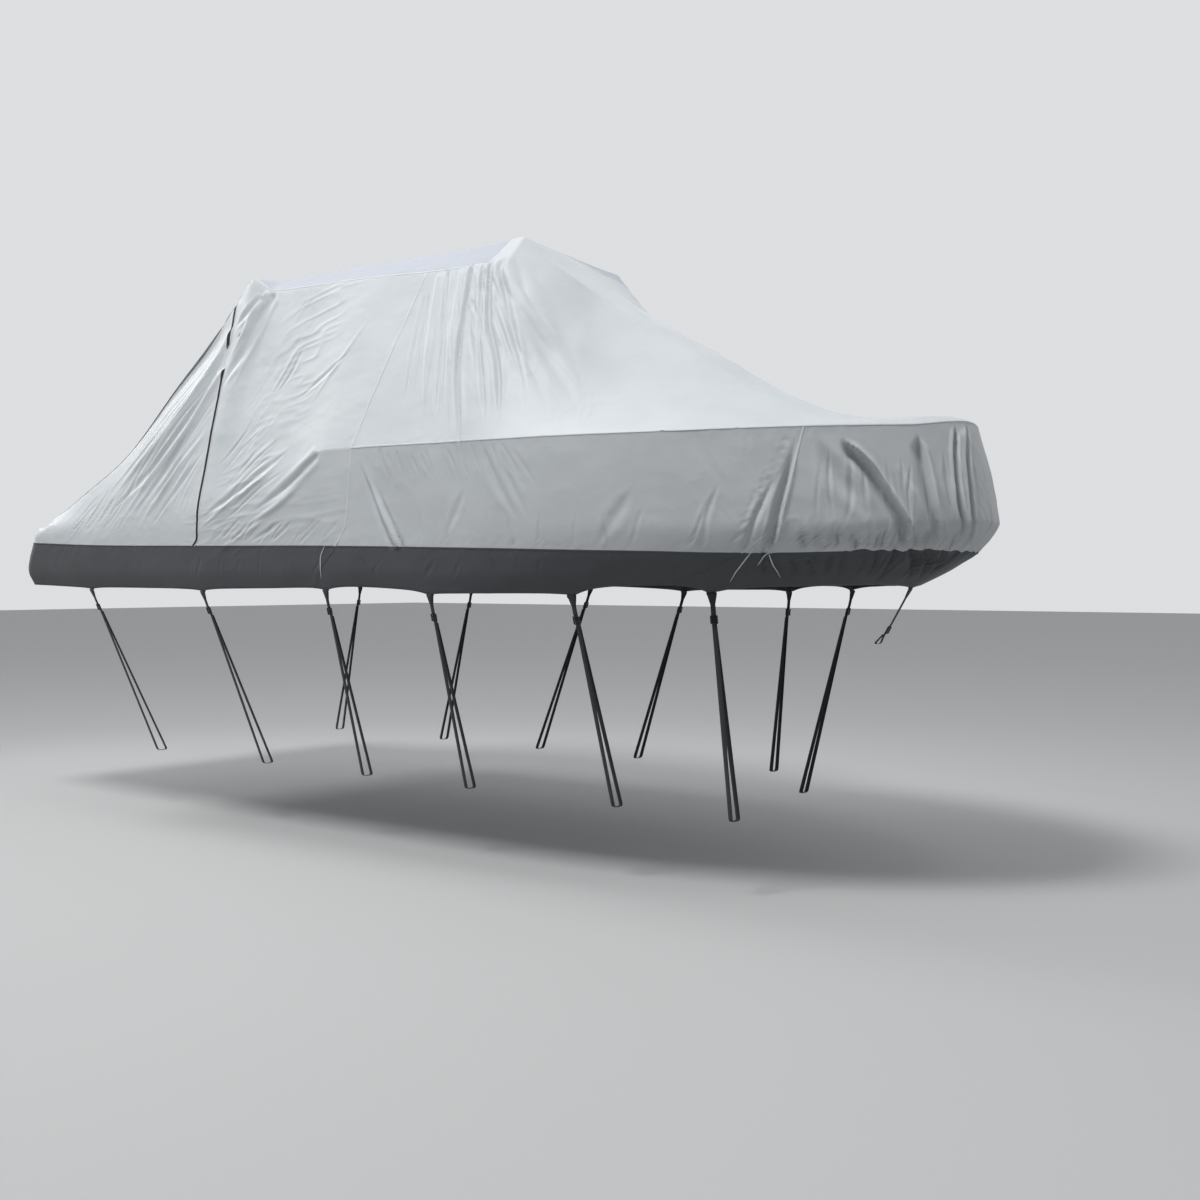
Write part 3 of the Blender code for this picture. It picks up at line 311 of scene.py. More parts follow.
# Folds of the roof and the two slopes, in the same form, with lines of x and y.
SLOPE_FOLDS = (
    ("ridge", "soft", 13, 55, 1.96, -0.50, 1.20, -0.60, 0.50, -0.70),
    ("trough", "soft", 12, 64, 1.90, -0.30, 1.10, -0.36, 0.35, -0.42),
    ("ridge", "soft", 11, 56, 1.80, 0.02, 1.00, 0.06, 0.30, 0.10),
    ("trough", "soft", 12, 64, 1.93, 0.28, 1.20, 0.38, 0.45, 0.46),
    ("ridge", "soft", 12, 48, 1.95, 0.52, 1.30, 0.62, 0.60, 0.70),
    ("crease", "soft", 8, 17, 1.70, -0.44, 1.00, -0.56, 0.50, -0.60),
    ("crease", "soft", 7, 15, 1.50, -0.10, 0.90, -0.20, 0.40, -0.20),
    ("crease", "soft", 8, 16, 1.75, 0.43, 1.20, 0.50, 0.70, 0.60),
    ("crease", "soft", 6, 15, 1.30, 0.18, 0.80, 0.24, 0.35, 0.32),
    ("trough", "soft", 12, 46, 0.30, -0.66, 0.35, 0.0, 0.30, 0.66),
    ("crease", "soft", 6, 18, 1.98, -0.40, 1.92, 0.05, 1.99, 0.50),
    ("trough", "soft", 10, 60, 4.30, 0.18, 4.90, 0.10, 5.50, 0.06),
    ("crease", "soft", 6, 17, 4.25, 0.34, 4.80, 0.42, 5.30, 0.38),
    ("crease", "soft", 5, 15, 4.30, -0.20, 4.70, -0.26, 5.10, -0.22),
    ("trough", "soft", 8, 80, 2.40, 0.0, 3.10, 0.03, 3.80, 0.0),
)
SLOPE_FADE = (0.66, 0.82)   # half breadth over which the slopes' folds fade out
# Patches of fine wrinkles: side, the line that they lie along, how far they reach from it,
# their slope in degrees, the size of their cells along and across, their height, and a seed.
WRINKLES = (
    (STARBOARD, ((2.86, 1.84), (2.76, 1.40), (2.66, 1.05), (2.50, 0.75), (2.34, 0.36)),
     0.34, 14, 0.18, 0.040, 0.0046, 51),
    (STARBOARD, ((2.62, 1.70), (2.52, 1.30), (2.40, 0.95)), 0.24, 52, 0.20, 0.046, 0.0032, 52),
    (STARBOARD, ((2.05, 0.40), (2.60, 0.44), (3.30, 0.46)), 0.20, 6, 0.24, 0.034, 0.0036, 53),
    (STARBOARD, ((4.30, 1.20), (4.60, 1.05), (4.90, 1.00)), 0.26, -58, 0.12, 0.036, 0.0034, 54),
    (STARBOARD, ((3.60, 0.62), (4.80, 0.62)), 0.20, -66, 0.16, 0.044, 0.0030, 55),
    (STARBOARD, ((5.80, 0.62), (6.50, 0.40), (6.90, 0.50)), 0.40, -60, 0.16, 0.040, 0.0042, 56),
    (STARBOARD, ((0.70, 0.50), (1.40, 0.70), (1.90, 1.00)), 0.40, 48, 0.26, 0.040, 0.0032, 57),
    (STARBOARD, ((6.05, 0.30), (6.95, 0.30)), 0.12, 80, 0.08, 0.028, 0.0056, 58),
    (PORT, ((2.86, 1.84), (2.66, 1.05), (2.34, 0.36)), 0.40, 14, 0.22, 0.050, 0.0026, 61),
    (PORT, ((5.80, 0.62), (6.50, 0.40), (6.90, 0.50)), 0.40, -60, 0.16, 0.050, 0.0026, 62),
    (PORT, ((0.70, 0.50), (1.40, 0.70), (1.90, 1.00)), 0.40, 48, 0.26, 0.050, 0.0022, 63),
)
BEND_CELL = 0.30            # the streaks wander by BEND over cells of this size
BEND = 0.03
STREAK_MEAN = 0.35
STRENGTH_CELLS = (0.35, 0.20)       # cells of the streaks' unequal strength
# The edge of the facet along each rear corner, as (girth, z); its slope and its breadth.
FACET_LINE = ((2.14, 1.80), (1.84, 1.46), (1.46, 1.10), (1.10, 0.80), (0.80, 0.56))
FACET_SLOPE = 0.26
FACET_REACH = 0.16
FACET_ENDS = (0.30, 0.60)   # shares of the edge where the facet has set in and begins to fade
FACET_ZONE = ((0.4, 0.4), (2.3, 3.0))           # least and greatest girth and z
MM = 0.001
FOLD_NARROWING = 0.34       # a fold's width where it ends, as a share

# Low waves: radians a metre along x, y and z, where they start, and their height.
ROLL_WAVES = (
    ((2.3, 1.7, 3.1), 0.0, 0.0036),
    ((4.9, 0.0, -2.2), 1.0, 0.00216),
)
# Uneven cloth: cell sizes along girth and height, height of the unevenness, seed.
CLOTH_NOISE = (
    (0.42, 0.26, 0.0030, 11),
    (0.17, 0.10, 0.0016, 12),
    (0.065, 0.035, 0.0006, 13),
)

# ---------------------------------------------------------------- straps
# Each strap's name, its side, and its foot's x, distance from the centreline and z.
FEET_X = (1.05, 2.18, 3.10, 3.94, 4.97, 5.68)
STRAPS = [(f"{name}_{n}", side, x, 0.85, -1.108)
          for name, side in (("starboard", STARBOARD), ("port", PORT))
          for n, x in enumerate(FEET_X, 1)]
STRAPS[-1] = ("port_6", PORT, 5.30, 0.62, -1.180)
STRAPS.append(("bow", 0, 6.068, 0.0, -0.262))
STRAP_WIDTH = 0.025
STRAP_THICKNESS = 0.0016
BUCKLE = (0.038, 0.042, 0.009)
LOOP_WIDTH = 0.070
BOW_LOOP_WIDTH = 0.035
TURN = 0.018                # how far from a corner the webbing begins to turn
TURN_SHARE = 0.45           # and the most of a strand that one turn takes up
SEAM_GAP = 0.0003
BEHIND = (BUCKLE[2] + STRAP_THICKNESS) / 2 + SEAM_GAP
STRAND_PART = 0.006
STRAP_LAP = 0.006
BELOW_BUCKLE = (0.030, 0.012)
CORNER_STEPS = 5
LONG_TAB = 0.11             # past this the webbing itself runs on up to the hem
SHORT_TAB = 0.06
TAB_LAP = 0.012             # the tab is sewn this far up inside the hem
TAB_INSIDE = 0.0055
TAB_BEND = 0.010
TAB_DROP = 0.002            # dip of its turn under the hem's edge
TAB_STEPS = 8
TAB_WIDTHS = ((0, 0.3, 1), (0.052, 0.052, 0.025))   # shares of its length, and widths
TAB_INTO_BUCKLE = 0.004
STRAND_STEP = 0.020
# The webbing's cross-section, as shares of half its width and half its thickness.
RIBBON_OUTLINE = np.array([(-1, 0), (-0.95, 1), (0, 1), (0.95, 1),
                           (1, 0), (0.95, -1), (0, -1), (-0.95, -1)])
RAIL_WIDTH = 0.007          # the buckle's side rails
RAIL_DEPTH = 0.8            # as a share of the buckle's own
BAR_SHORTER = 0.008
# Its cross bars: place as a share of its height, height, and depth as a share.
BUCKLE_BARS = ((-0.44, 0.005, 1.0), (-0.14, 0.006, 0.7), (0.16, 0.006, 0.7), (0.44, 0.005, 1.0))
BUCKLE_ROUNDING = 0.0012


# ---------------------------------------------------------------- small maths
def smooth_table(xs, ys, x):
    """Shape-keeping cubic through a table's rows, held level beyond its ends."""
    xs = np.asarray(xs, float)
    ys = np.asarray(ys, float)
    x = np.clip(np.asarray(x, float), xs[0], xs[-1])
    i = np.clip(np.searchsorted(xs, x, side="right") - 1, 0, len(xs) - 2)
    more = (1,) * (ys.ndim - 1)
    step = np.diff(xs).reshape(-1, *more)
    rise = np.diff(ys, axis=0) / step
    before = 2 * step[1:] + step[:-1]
    after = step[1:] + 2 * step[:-1]
    alike = rise[:-1] * rise[1:] > 0
    first, second = (np.where(alike, r, 1.0) for r in (rise[:-1], rise[1:]))
    inner = np.where(alike, (before + after) / (before / first + after / second), 0.0)
    slope = np.concatenate([rise[:1], inner, rise[-1:]])
    t = np.reshape((x - xs[i]) / np.diff(xs)[i], x.shape + more)
    start = (1 + 2 * t) * (1 - t) ** 2 * ys[i] + t * (1 - t) ** 2 * step[i] * slope[i]
    end = t * t * (3 - 2 * t) * ys[i + 1] + t * t * (t - 1) * step[i] * slope[i + 1]
    return start + end


def ramp(x, low, high):
    """0 below low, 1 above high, smooth between."""
    t = np.clip((np.asarray(x, float) - low) / (high - low), 0.0, 1.0)
    return t * t * (3 - 2 * t)


def value_noise(points, seed, size=64):
    """Smooth random value from -1 to 1 at each point of any dimension, one a unit cell."""
    dims = points.shape[1]
    lattice = np.random.default_rng(seed).uniform(-1, 1, (size,) * dims)
    base = np.floor(points).astype(int)
    share = points - base
    share = share * share * (3 - 2 * share)
    total = np.zeros(len(points))
    for bits in np.ndindex(*(2,) * dims):
        weight = np.prod(np.where(bits, share, 1 - share), axis=1)
        total += weight * lattice[tuple(((base + bits) % size).T)]
    return total


def unit(vectors):
    length = np.linalg.norm(vectors, axis=-1, keepdims=True)
    return vectors / np.maximum(length, 1e-12)


def distances(line):
    """Distance along a line, or along each of many, to each of its points."""
    steps = np.linalg.norm(np.diff(line, axis=-2), axis=-1)
    return np.concatenate([np.zeros(steps.shape[:-1] + (1,)), np.cumsum(steps, -1)], -1)


def cell_corners(grid):
    """The four corners of each cell of a grid, in order round it."""
    return np.stack([grid[:-1, :-1], grid[1:, :-1], grid[1:, 1:], grid[:-1, 1:]], 2)


def buckle_ring(node, top):
    """Centre and width direction of the top or bottom end of a CAD tab and buckle."""
    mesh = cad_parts[node].data
    points = sorted({tuple(round(c, 6) for c in v.co) for v in mesh.vertices},
                    key=lambda p: p[2])
    ring = np.array(points[-4:] if top else points[:4])
    spread = ring - ring.mean(0)
    across = np.linalg.svd(spread)[2][0]
    return ring.mean(0), across


# ---------------------------------------------------------------- the cover's surface
def level_height(level, x):
    return smooth_table(HEIGHT_X, HEIGHTS[level], x)


def half_beam(level, x):
    """Half breadth of a level's outline at x."""
    p = LEVELS[level]
    x = np.asarray(x, float)
    narrowing = STERN_NARROWING * np.clip((p["full"] - x) / p["full"], 0, 1) ** 2
    bow = np.clip((x - p["full"]) / (p["tip"] - p["full"]), 0, 1)
    y = p["half"] * (1 - narrowing) * (1 - bow ** BOW_POWER_X) ** (1 / BOW_POWER_Y)
    inside = np.clip(p["stern"] + p["radius"] - x, 0, p["radius"])
    return y - p["radius"] + np.sqrt(p["radius"] ** 2 - inside ** 2)


def end_x(level, end, y):
    """x of a level's stern or bow outline at half breadth y."""
    p = LEVELS[level]
    if end == "stern":
        full = p["half"] * (1 - STERN_NARROWING)
        over = np.clip(y - (full - p["radius"]), 0, p["radius"])
        return p["stern"] + p["radius"] - np.sqrt(p["radius"] ** 2 - over ** 2)
    share = np.clip(y / p["half"], 0, 1)
    reach = p["tip"] - p["full"]
    return p["full"] + reach * (1 - share ** BOW_POWER_Y) ** (1 / BOW_POWER_X)


def side_ends(level):
    """x where the side columns begin, at the stern corner, and end, at the bow corner."""
    p = LEVELS[level]
    first = p["stern"] + p["radius"] * (1 - math.cos(math.radians(45)))
    last = float(end_x(level, "bow", BOW_CORNER * p["half"]))
    return first, last


def section_at(x, y):
    """Shoulder, crown and centre values of the section through (x, y)."""
    a, b, c, d = ROOF_SKEW_RANGE
    lean = ROOF_SKEW * ramp(x, a, b) * (1 - ramp(x, c, d))
    table = np.array(SECTIONS)
    values = smooth_table(table[:, 0], table[:, 1:], x + lean * y)
    return dict(zip(SECTION_PARTS, np.moveaxis(values, -1, 0)))


def edge_breadths(part, beam):
    """Half breadths of the shoulder and the crown, kept inside the beam."""
    shoulder = np.minimum(part["shoulder"], SHOULDER_LIMIT * beam)
    return shoulder, np.minimum(part["crown"], CROWN_LIMIT * shoulder)


def line_breadths(x, beam):
    """Half breadths of the fore-and-aft lines at each x, from gunwale to centre: (n, lines)."""
    shoulder, crown = edge_breadths(section_at(x, 0.0), beam)
    rows = [beam + (shoulder - beam) * f for f in SHOULDER_STEPS]
    rows += [shoulder + (crown - shoulder) * f for f in CROWN_STEPS]
    rows += [crown * (1 - f) for f in CENTRE_STEPS]
    return np.stack(rows, -1)


def top_height(x, y):
    """Height of the upper cover over the plan point (x, y), its creases rounded."""
    part = section_at(x, y)
    beam = half_beam("gunwale", x)
    gunwale_z = level_height("gunwale", x)
    shoulder, crown = edge_breadths(part, beam)
    total = 0.0
    offsets = (-1.0, -0.5, 0.0, 0.5, 1.0)
    for offset in offsets:
        v = np.abs(np.abs(y) + offset * CREASE_ROUNDING)
        side = (beam - v) / np.maximum(beam - shoulder, 1e-3)
        edge = (shoulder - v) / np.maximum(shoulder - crown, 1e-3)
        roof = v / np.maximum(crown, 1e-3)
        z = np.where(
            v > shoulder, gunwale_z + (part["shoulder_z"] - gunwale_z) * side,
            np.where(
                v > crown, part["shoulder_z"] + (part["crown_z"] - part["shoulder_z"]) * edge,
                part["centre_z"] + (part["crown_z"] - part["centre_z"]) * roof))
        total = total + z / len(offsets)
    return total


# ---------------------------------------------------------------- the net of points
def cut_counts(values, ranges, step, least):
    """How many steps to cut each interval of values into, finer in the ranges given."""
    counts = []
    for a, b in zip(values[:-1], values[1:]):
        steps = [fine for low, high, fine in ranges if low <= 0.5 * (a + b) <= high] or [step]
        counts.append(max(least, round((b - a) / steps[-1])))
    return counts


def split(values, counts):
    """Each interval of values cut into its count of equal steps; with interval numbers."""
    fine = [values[0]]
    owner = []
    for n, (a, b) in enumerate(zip(values[:-1], values[1:])):
        fine += [a + (b - a) * (j + 1) / counts[n] for j in range(counts[n])]
        owner += [n] * counts[n]
    return np.array(fine), np.array(owner)


# The coarse side columns' x on the gunwale, and the fine ones between them.
FIRST_X, LAST_X = side_ends("gunwale")
COLUMN_MARKS = sorted({
    FIRST_X, ZIP_X, ZIP_X + ZIP_WIDTH, CREST_COLUMN_X, SEAM_X, ROOF_FRONT_X, BOW_SEAM_X, LAST_X,
    *(x for part in FINE_COLUMNS for x in part[:2] if x <= LAST_X)})
COARSE, _ = split(COLUMN_MARKS, cut_counts(COLUMN_MARKS, FINE_COLUMNS, COLUMN_STEP, 1))
LEAN_PLACES = LEAN_X + (COARSE[-1],)
STATION_SPLITS = cut_counts(COARSE, FINE_STEPS, FINE_STEP, 2)
STATIONS, STATION_OWNER = split(COARSE, STATION_SPLITS)
BOTH_SPLITS = STARBOARD_SPLITS + PORT_SPLITS[::-1]
LINE_PLACES, LINE_OWNER = split(np.arange(2 * LINES + 1), BOTH_SPLITS)
ROW_PLACES, ROW_OWNER = split(np.arange(len(LEVEL_NAMES)), LEVEL_SPLITS)
N_STATIONS, N_LINES, N_ROWS = len(STATIONS), len(LINE_PLACES), len(ROW_PLACES)
HALF_PLACES = np.minimum(LINE_PLACES, 2 * LINES - LINE_PLACES)
LINE_SIDE = np.where(LINE_PLACES < LINES, -1.0, 1.0)

# The wall's columns go once round from the starboard stern corner: the starboard side, the
# bow, the port side and the stern. Each ring below follows the top's stations or lines.
PORT_START = N_STATIONS + N_LINES - 2
N_RING = 2 * PORT_START
STARBOARD_RING = np.arange(N_STATIONS)
PORT_RING = PORT_START + STARBOARD_RING[::-1]
BOW_RING = N_STATIONS - 1 + np.arange(N_LINES)
STERN_RING = -np.arange(N_LINES) % N_RING


def side_column(x, side):
    """Level points of the side columns at gunwale x: (n, levels, 3)."""
    lean = np.interp(x, LEAN_PLACES, LEAN_HEM)
    points = []
    for level, share in zip(LEVEL_NAMES, LEAN_SHARES):
        start, end = side_ends(level)
        here = start + (x - FIRST_X) / (LAST_X - FIRST_X) * (end - start)
        here = np.clip(here + share * lean, start, end)
        points.append(np.stack([here, side * half_beam(level, here),
                                level_height(level, here)], -1))
    return np.stack(points, 1)


def end_column(end, share, side):
    """Level points of the bow or stern columns at a share of the corner's breadth."""
    points = []
    for level in LEVEL_NAMES:
        if end == "bow":
            y = share * BOW_CORNER * LEVELS[level]["half"]
        else:
            y = share * half_beam(level, side_ends(level)[0])
        x = end_x(level, end, y)
        points.append(np.stack([x, side * y, level_height(level, x)], -1))
    return np.stack(points, 1)


def wall_points():
    """The wall's columns, once round from the starboard stern corner: (ring, rows, 3)."""
    inner = slice(1, N_LINES - 1)
    bow_share = np.abs(1 - LINE_PLACES / LINES)[inner]
    stern_beam = float(half_beam("gunwale", STATIONS[0]))
    stern_shares = line_breadths(STATIONS[:1], np.array([stern_beam]))[0] / stern_beam
    stern_share = np.interp(HALF_PLACES, np.arange(LINES + 1), stern_shares)[inner]
    side = LINE_SIDE[inner]
    columns = np.concatenate([
        side_column(STATIONS, -1.0),
        end_column("bow", bow_share, side),
        side_column(STATIONS, 1.0)[::-1],
        end_column("stern", stern_share, side)[::-1],
    ])
    levels = columns.transpose(1, 0, 2)
    smooth = smooth_table(np.arange(len(levels)), levels, ROW_PLACES).transpose(1, 0, 2)
    low = np.clip(np.floor(ROW_PLACES).astype(int), 0, len(LEVEL_NAMES) - 2)
    share = (ROW_PLACES - low)[None, :, None]
    straight = columns[:, low] * (1 - share) + columns[:, low + 1] * share
    flat = (BOW_STRAIGHTNESS * ramp(smooth[..., :1], *BOW_STRAIGHT_X)
            * ramp(smooth[..., 1:2], *BOW_STRAIGHT_Y))
    return smooth * (1 - flat) + straight * flat


def interpolate_grid(grid, places_i, places_k):
    """Values of a grid between its own rows and lines."""
    i = np.clip(np.floor(places_i).astype(int), 0, grid.shape[0] - 2)
    k = np.clip(np.floor(places_k).astype(int), 0, grid.shape[1] - 2)
    u = (places_i - i)[:, None, None]
    v = (places_k - k)[None, :, None]
    low = grid[i][:, k] * (1 - u) + grid[i + 1][:, k] * u
    high = grid[i][:, k + 1] * (1 - u) + grid[i + 1][:, k + 1] * u
    return low * (1 - v) + high * v


def plan_of(stations, places):
    """Plan positions of the top's points by the direct rule."""
    beam = half_beam("gunwale", stations)
    breadths = line_breadths(stations, beam)
    half_places = np.minimum(places, 2 * LINES - places)
    low = np.clip(np.floor(half_places).astype(int), 0, LINES - 1)
    share = half_places - low
    half = breadths[:, low] * (1 - share) + breadths[:, low + 1] * share
    shoulder = breadths[:, SHOULDER_LINE]
    up = np.minimum(1.0, (beam[:, None] - half) / (beam - shoulder)[:, None])
    lean = up * np.interp(stations, LEAN_PLACES, LEAN_TOP)[:, None]
    side = np.where(places < LINES, -1.0, 1.0)
    return np.stack([stations[:, None] + lean, side * half], -1)


def even_out(zone, rounds):
    for _ in range(rounds):
        zone[1:-1, 1:-1] = 0.25 * (zone[:-2, 1:-1] + zone[2:, 1:-1]
                                   + zone[1:-1, :-2] + zone[1:-1, 2:])


def set_rim(top, rim):
    """Puts the edges of a grid of the top on the wall's top row."""
    top[:, 0], top[:, -1] = rim[STARBOARD_RING], rim[PORT_RING]
    top[0], top[-1] = rim[STERN_RING], rim[BOW_RING]


def top_points(wall):
    """The upper cover's points, its rim on the wall's top row: (stations, lines, 3)."""
    rim = wall[:, -1]
    coarse = plan_of(COARSE, np.arange(2 * LINES + 1))
    marks = np.concatenate([[0], np.cumsum(BOTH_SPLITS)])
    coarse[0] = rim[STERN_RING[marks], :2]
    coarse[-1] = rim[BOW_RING[marks], :2]
    first = int(np.argmax(COARSE > EVEN_BOW_X))
    even_out(coarse[first:], COARSE_EVENING)
    plan = plan_of(STATIONS, LINE_PLACES)
    plan[0] = rim[STERN_RING, :2]
    plan[-1] = rim[BOW_RING, :2]
    begin = int(np.argmin(np.abs(STATIONS - COARSE[first])))
    station_places = np.interp(STATIONS[begin:], COARSE, np.arange(len(COARSE)))
    inside = interpolate_grid(coarse, station_places, LINE_PLACES)
    plan[begin + 1:-1, 1:-1] = inside[1:-1, 1:-1]
    even_out(plan[begin:], FINE_EVENING)
    top = np.concatenate([plan, top_height(plan[..., 0], plan[..., 1])[..., None]], -1)
    set_rim(top, rim)
    for a, b in ((0, STATION_SPLITS[0]), (N_STATIONS - 1 - STATION_SPLITS[-1], N_STATIONS - 1)):
        share = np.linspace(0, 1, b - a + 1)[1:-1, None, None]
        top[a + 1:b, 1:-1] = top[a, 1:-1] * (1 - share) + top[b, 1:-1] * share
    return top


# The rear side hangs in one sweep, with no crease at the gunwale: from x, to x.
SWEEP_SETS_IN = (0.12, 0.45)
SWEEP_ENDS = (2.25, 3.05)
SWEEP_BREADTH = 0.42        # reach of the smoothing above and below the gunwale
SWEEP_ROUNDS = 900
SLOPE_SETS_IN = (0.30, 0.70)
SLOPE_ENDS = (1.75, 2.05)
SLOPE_ROUNDS = 220
SLOPE_INSET = 30            # lines from the rim over which the slope's smoothing sets in


def relax(points, weight, rounds, axes):
    """Evens a grid's points along its second axis, each by its weight, in some axes only."""
    weight = 0.5 * weight[:, 1:-1, None]
    moved = np.ascontiguousarray(points[..., axes])
    for _ in range(rounds):
        middle = 0.5 * (moved[:, :-2] + moved[:, 2:])
        moved[:, 1:-1] += weight * (middle - moved[:, 1:-1])
    points[..., axes] = moved


def sweep_rear(wall, top):
    """Rounds the rear slope along the cover, and the rear sides over the gunwale."""
    x = top[:, :, 0]
    line = np.arange(N_LINES)
    inward = ramp(np.minimum(line, line[::-1]), 0, SLOPE_INSET)
    weight = (ramp(x, *SLOPE_SETS_IN) * (1 - ramp(x, *SLOPE_ENDS)) * inward).T
    relax(top.transpose(1, 0, 2), weight, SLOPE_ROUNDS, slice(2, 3))
    for ring, lines in (
            (STARBOARD_RING, slice(1, sum(STARBOARD_SPLITS[:SHOULDER_LINE]))),
            (PORT_RING, slice(-2, -sum(PORT_SPLITS[:SHOULDER_LINE]), -1))):
        strip = np.concatenate([wall[ring], top[:, lines]], 1)
        place = distances(strip)
        place -= place[:, N_ROWS - 1:N_ROWS]
        gunwale_x = strip[:, N_ROWS - 1, 0][:, None]
        weight = ramp(gunwale_x, *SWEEP_SETS_IN) * (1 - ramp(gunwale_x, *SWEEP_ENDS))
        weight = weight * (1 - ramp(np.abs(place), 0.4 * SWEEP_BREADTH, SWEEP_BREADTH))
        weight[:, :BAND_TOP_ROW + 1] = 0
        relax(strip, weight, SWEEP_ROUNDS, slice(1, 3))
        wall[ring] = strip[:, :N_ROWS]
        top[:, lines] = strip[:, N_ROWS:]
    set_rim(top, wall[:, -1])


# The hem is pulled down at each strap and rises between: rises in metres, from the stern to
# the bow strap, for the gaps before, between and after each side's six straps.
HEM_RISES = {
    STARBOARD: (0.006, 0.010, 0.012, 0.020, 0.007, 0.042, 0.014),
    PORT: (0.005, 0.012, 0.016, 0.010, 0.014, 0.030, 0.012),
}
HEM_DIP = 0.085             # length over which the hem drops to a strap
HEM_EASE = 1.2              # power by which the rise fades from the hem to the band's top
TIE_FLAT = 0.030            # the hem lies level this far each side of a strap
BOW_GIRTH = BOW_CENTRE_X + BOW_ARC * math.pi / 2
RUFFLE_GIRTH = (5.98, 6.12)
RUFFLE = 0.011              # height of the gathered seam's waves at the bow
RUFFLE_CELL = 0.050
RUFFLE_SEED = 71
RUFFLE_REACH = 0.055        # how far above and below the seam they fade out


def girth(points):
    """Distance along the side, run on round the bow."""
    angle = np.arctan2(np.maximum(points[:, 0] - BOW_CENTRE_X, 0),
                       np.maximum(np.abs(points[:, 1]), 1e-6))
    return np.minimum(points[:, 0], BOW_CENTRE_X) + BOW_ARC * angle


def gather_band(wall):
    """Raises the hem between the straps, and gathers the band's seam round the bow."""
    hem = wall[:, 0]
    s = girth(hem)
    rise = np.zeros(len(wall))
    for side, rises in HEM_RISES.items():
        names = [row[0] for row in STRAPS if row[1] == side]
        ties = [buckle_ring("buckle_" + name, True)[0] + HOLD_UP for name in names]
        ties = np.append(girth(np.array(ties)), BOW_GIRTH)
        nearest = np.maximum(np.abs(s[:, None] - ties[None, :]).min(1) - TIE_FLAT, 0)
        here = hem[:, 1] * side > 0
        size = np.array(rises)[np.searchsorted(ties[:-1], s)]
        rise[here] = (size * (1 - np.exp(-nearest / HEM_DIP)))[here]
    z = wall[..., 2]
    seam_z = z[:, BAND_TOP_ROW, None].copy()
    below = np.clip((seam_z - z) / (seam_z - z[:, :1]), 0, 1)
    z += rise[:, None] * below ** HEM_EASE
    wave = value_noise(np.stack([s / RUFFLE_CELL, np.full(N_RING, 0.5)], -1), RUFFLE_SEED)
    wave = wave * RUFFLE * ramp(s, *RUFFLE_GIRTH)
    near = 1 - ramp(np.abs(z - z[:, BAND_TOP_ROW, None]), 0.0, RUFFLE_REACH)
    z += wave[:, None] * near


WALL = wall_points()
TOP = top_points(WALL)
sweep_rear(WALL, TOP)
gather_band(WALL)
BASE = np.concatenate([WALL.reshape(-1, 3), TOP[1:-1, 1:-1].reshape(-1, 3)])
FLAT = np.stack([girth(BASE), BASE[:, 2]], -1)      # each point's girth and z
N_WALL = N_RING * N_ROWS
WALL_ID = np.arange(N_WALL).reshape(N_RING, N_ROWS)
CLOSED_RING_ID = np.concatenate([WALL_ID, WALL_ID[:1]])
TOP_ID = np.zeros((N_STATIONS, N_LINES), int)
TOP_ID[1:-1, 1:-1] = np.arange(N_WALL, len(BASE)).reshape(N_STATIONS - 2, N_LINES - 2)
set_rim(TOP_ID, WALL_ID[:, -1])
WALL_QUADS = cell_corners(CLOSED_RING_ID)
TOP_QUADS = cell_corners(TOP_ID)
QUADS = np.concatenate([WALL_QUADS.reshape(-1, 4), TOP_QUADS.reshape(-1, 4)])


def point_normals(points):
    """Outward normals at the net's points, from all cells that share them."""
    total = np.zeros_like(points)
    p = points[QUADS]
    face = np.cross(p[:, 2] - p[:, 0], p[:, 3] - p[:, 1])
    for corner in range(4):
        for axis in range(3):
            total[:, axis] += np.bincount(QUADS[:, corner], face[:, axis], len(points))
    return unit(total)


# ---------------------------------------------------------------- panels
def nearest_station(x):
    return int(np.argmin(np.abs(COARSE - x)))


ZIP = nearest_station(ZIP_X)
SEAM = nearest_station(SEAM_X)
BOW_SEAM = nearest_station(BOW_SEAM_X)
ROOF_REAR = nearest_station(ROOF_REAR_X)
ROOF_FRONT = nearest_station(ROOF_FRONT_X)
ZIP_BRIDGE_LINE = 3         # the line where cloth bridges the zip's slot


def band_panel(place, i):
    if place in ("bow", "stern"):
        return "band_" + place
    if i >= BOW_SEAM:
        return "band_bow"
    return "band_" + place + ("_fore" if i >= SEAM else "_aft")


def skirt_panel(place, i):
    if place == "stern":
        return "rear_panel"
    if place == "bow" or i >= BOW_SEAM:
        return "bow_skirt"
    if i >= SEAM:
        return "skirt_" + place
    if place == "port":
        return "side_panel_port"
    if i == ZIP:
        return "zip_lower"
    return "side_panel_starboard" if i > ZIP else "rear_side_panel"


def top_panel(i, k):
    """Panel of the cell between coarse stations i, i+1 and lines k, k+1."""
    port = k >= LINES
    line = 2 * LINES - 1 - k if port else k
    if line >= SHOULDER_LINE:
        if i >= ROOF_FRONT:
            return "front_panel_port" if port else "front_panel_starboard"
        return "roof_panel" if i >= ROOF_REAR else "rear_panel"
    if i >= SEAM:
        return "front_panel_port" if port else "front_panel_starboard"
    if port:
        return "side_panel_port"
    if i == ZIP:
        if line < ZIP_BRIDGE_LINE:
            return "zip_lower"
        return "zip_upper" if line > ZIP_BRIDGE_LINE else "side_panel_starboard"
    return "side_panel_starboard" if i > ZIP else "rear_side_panel"


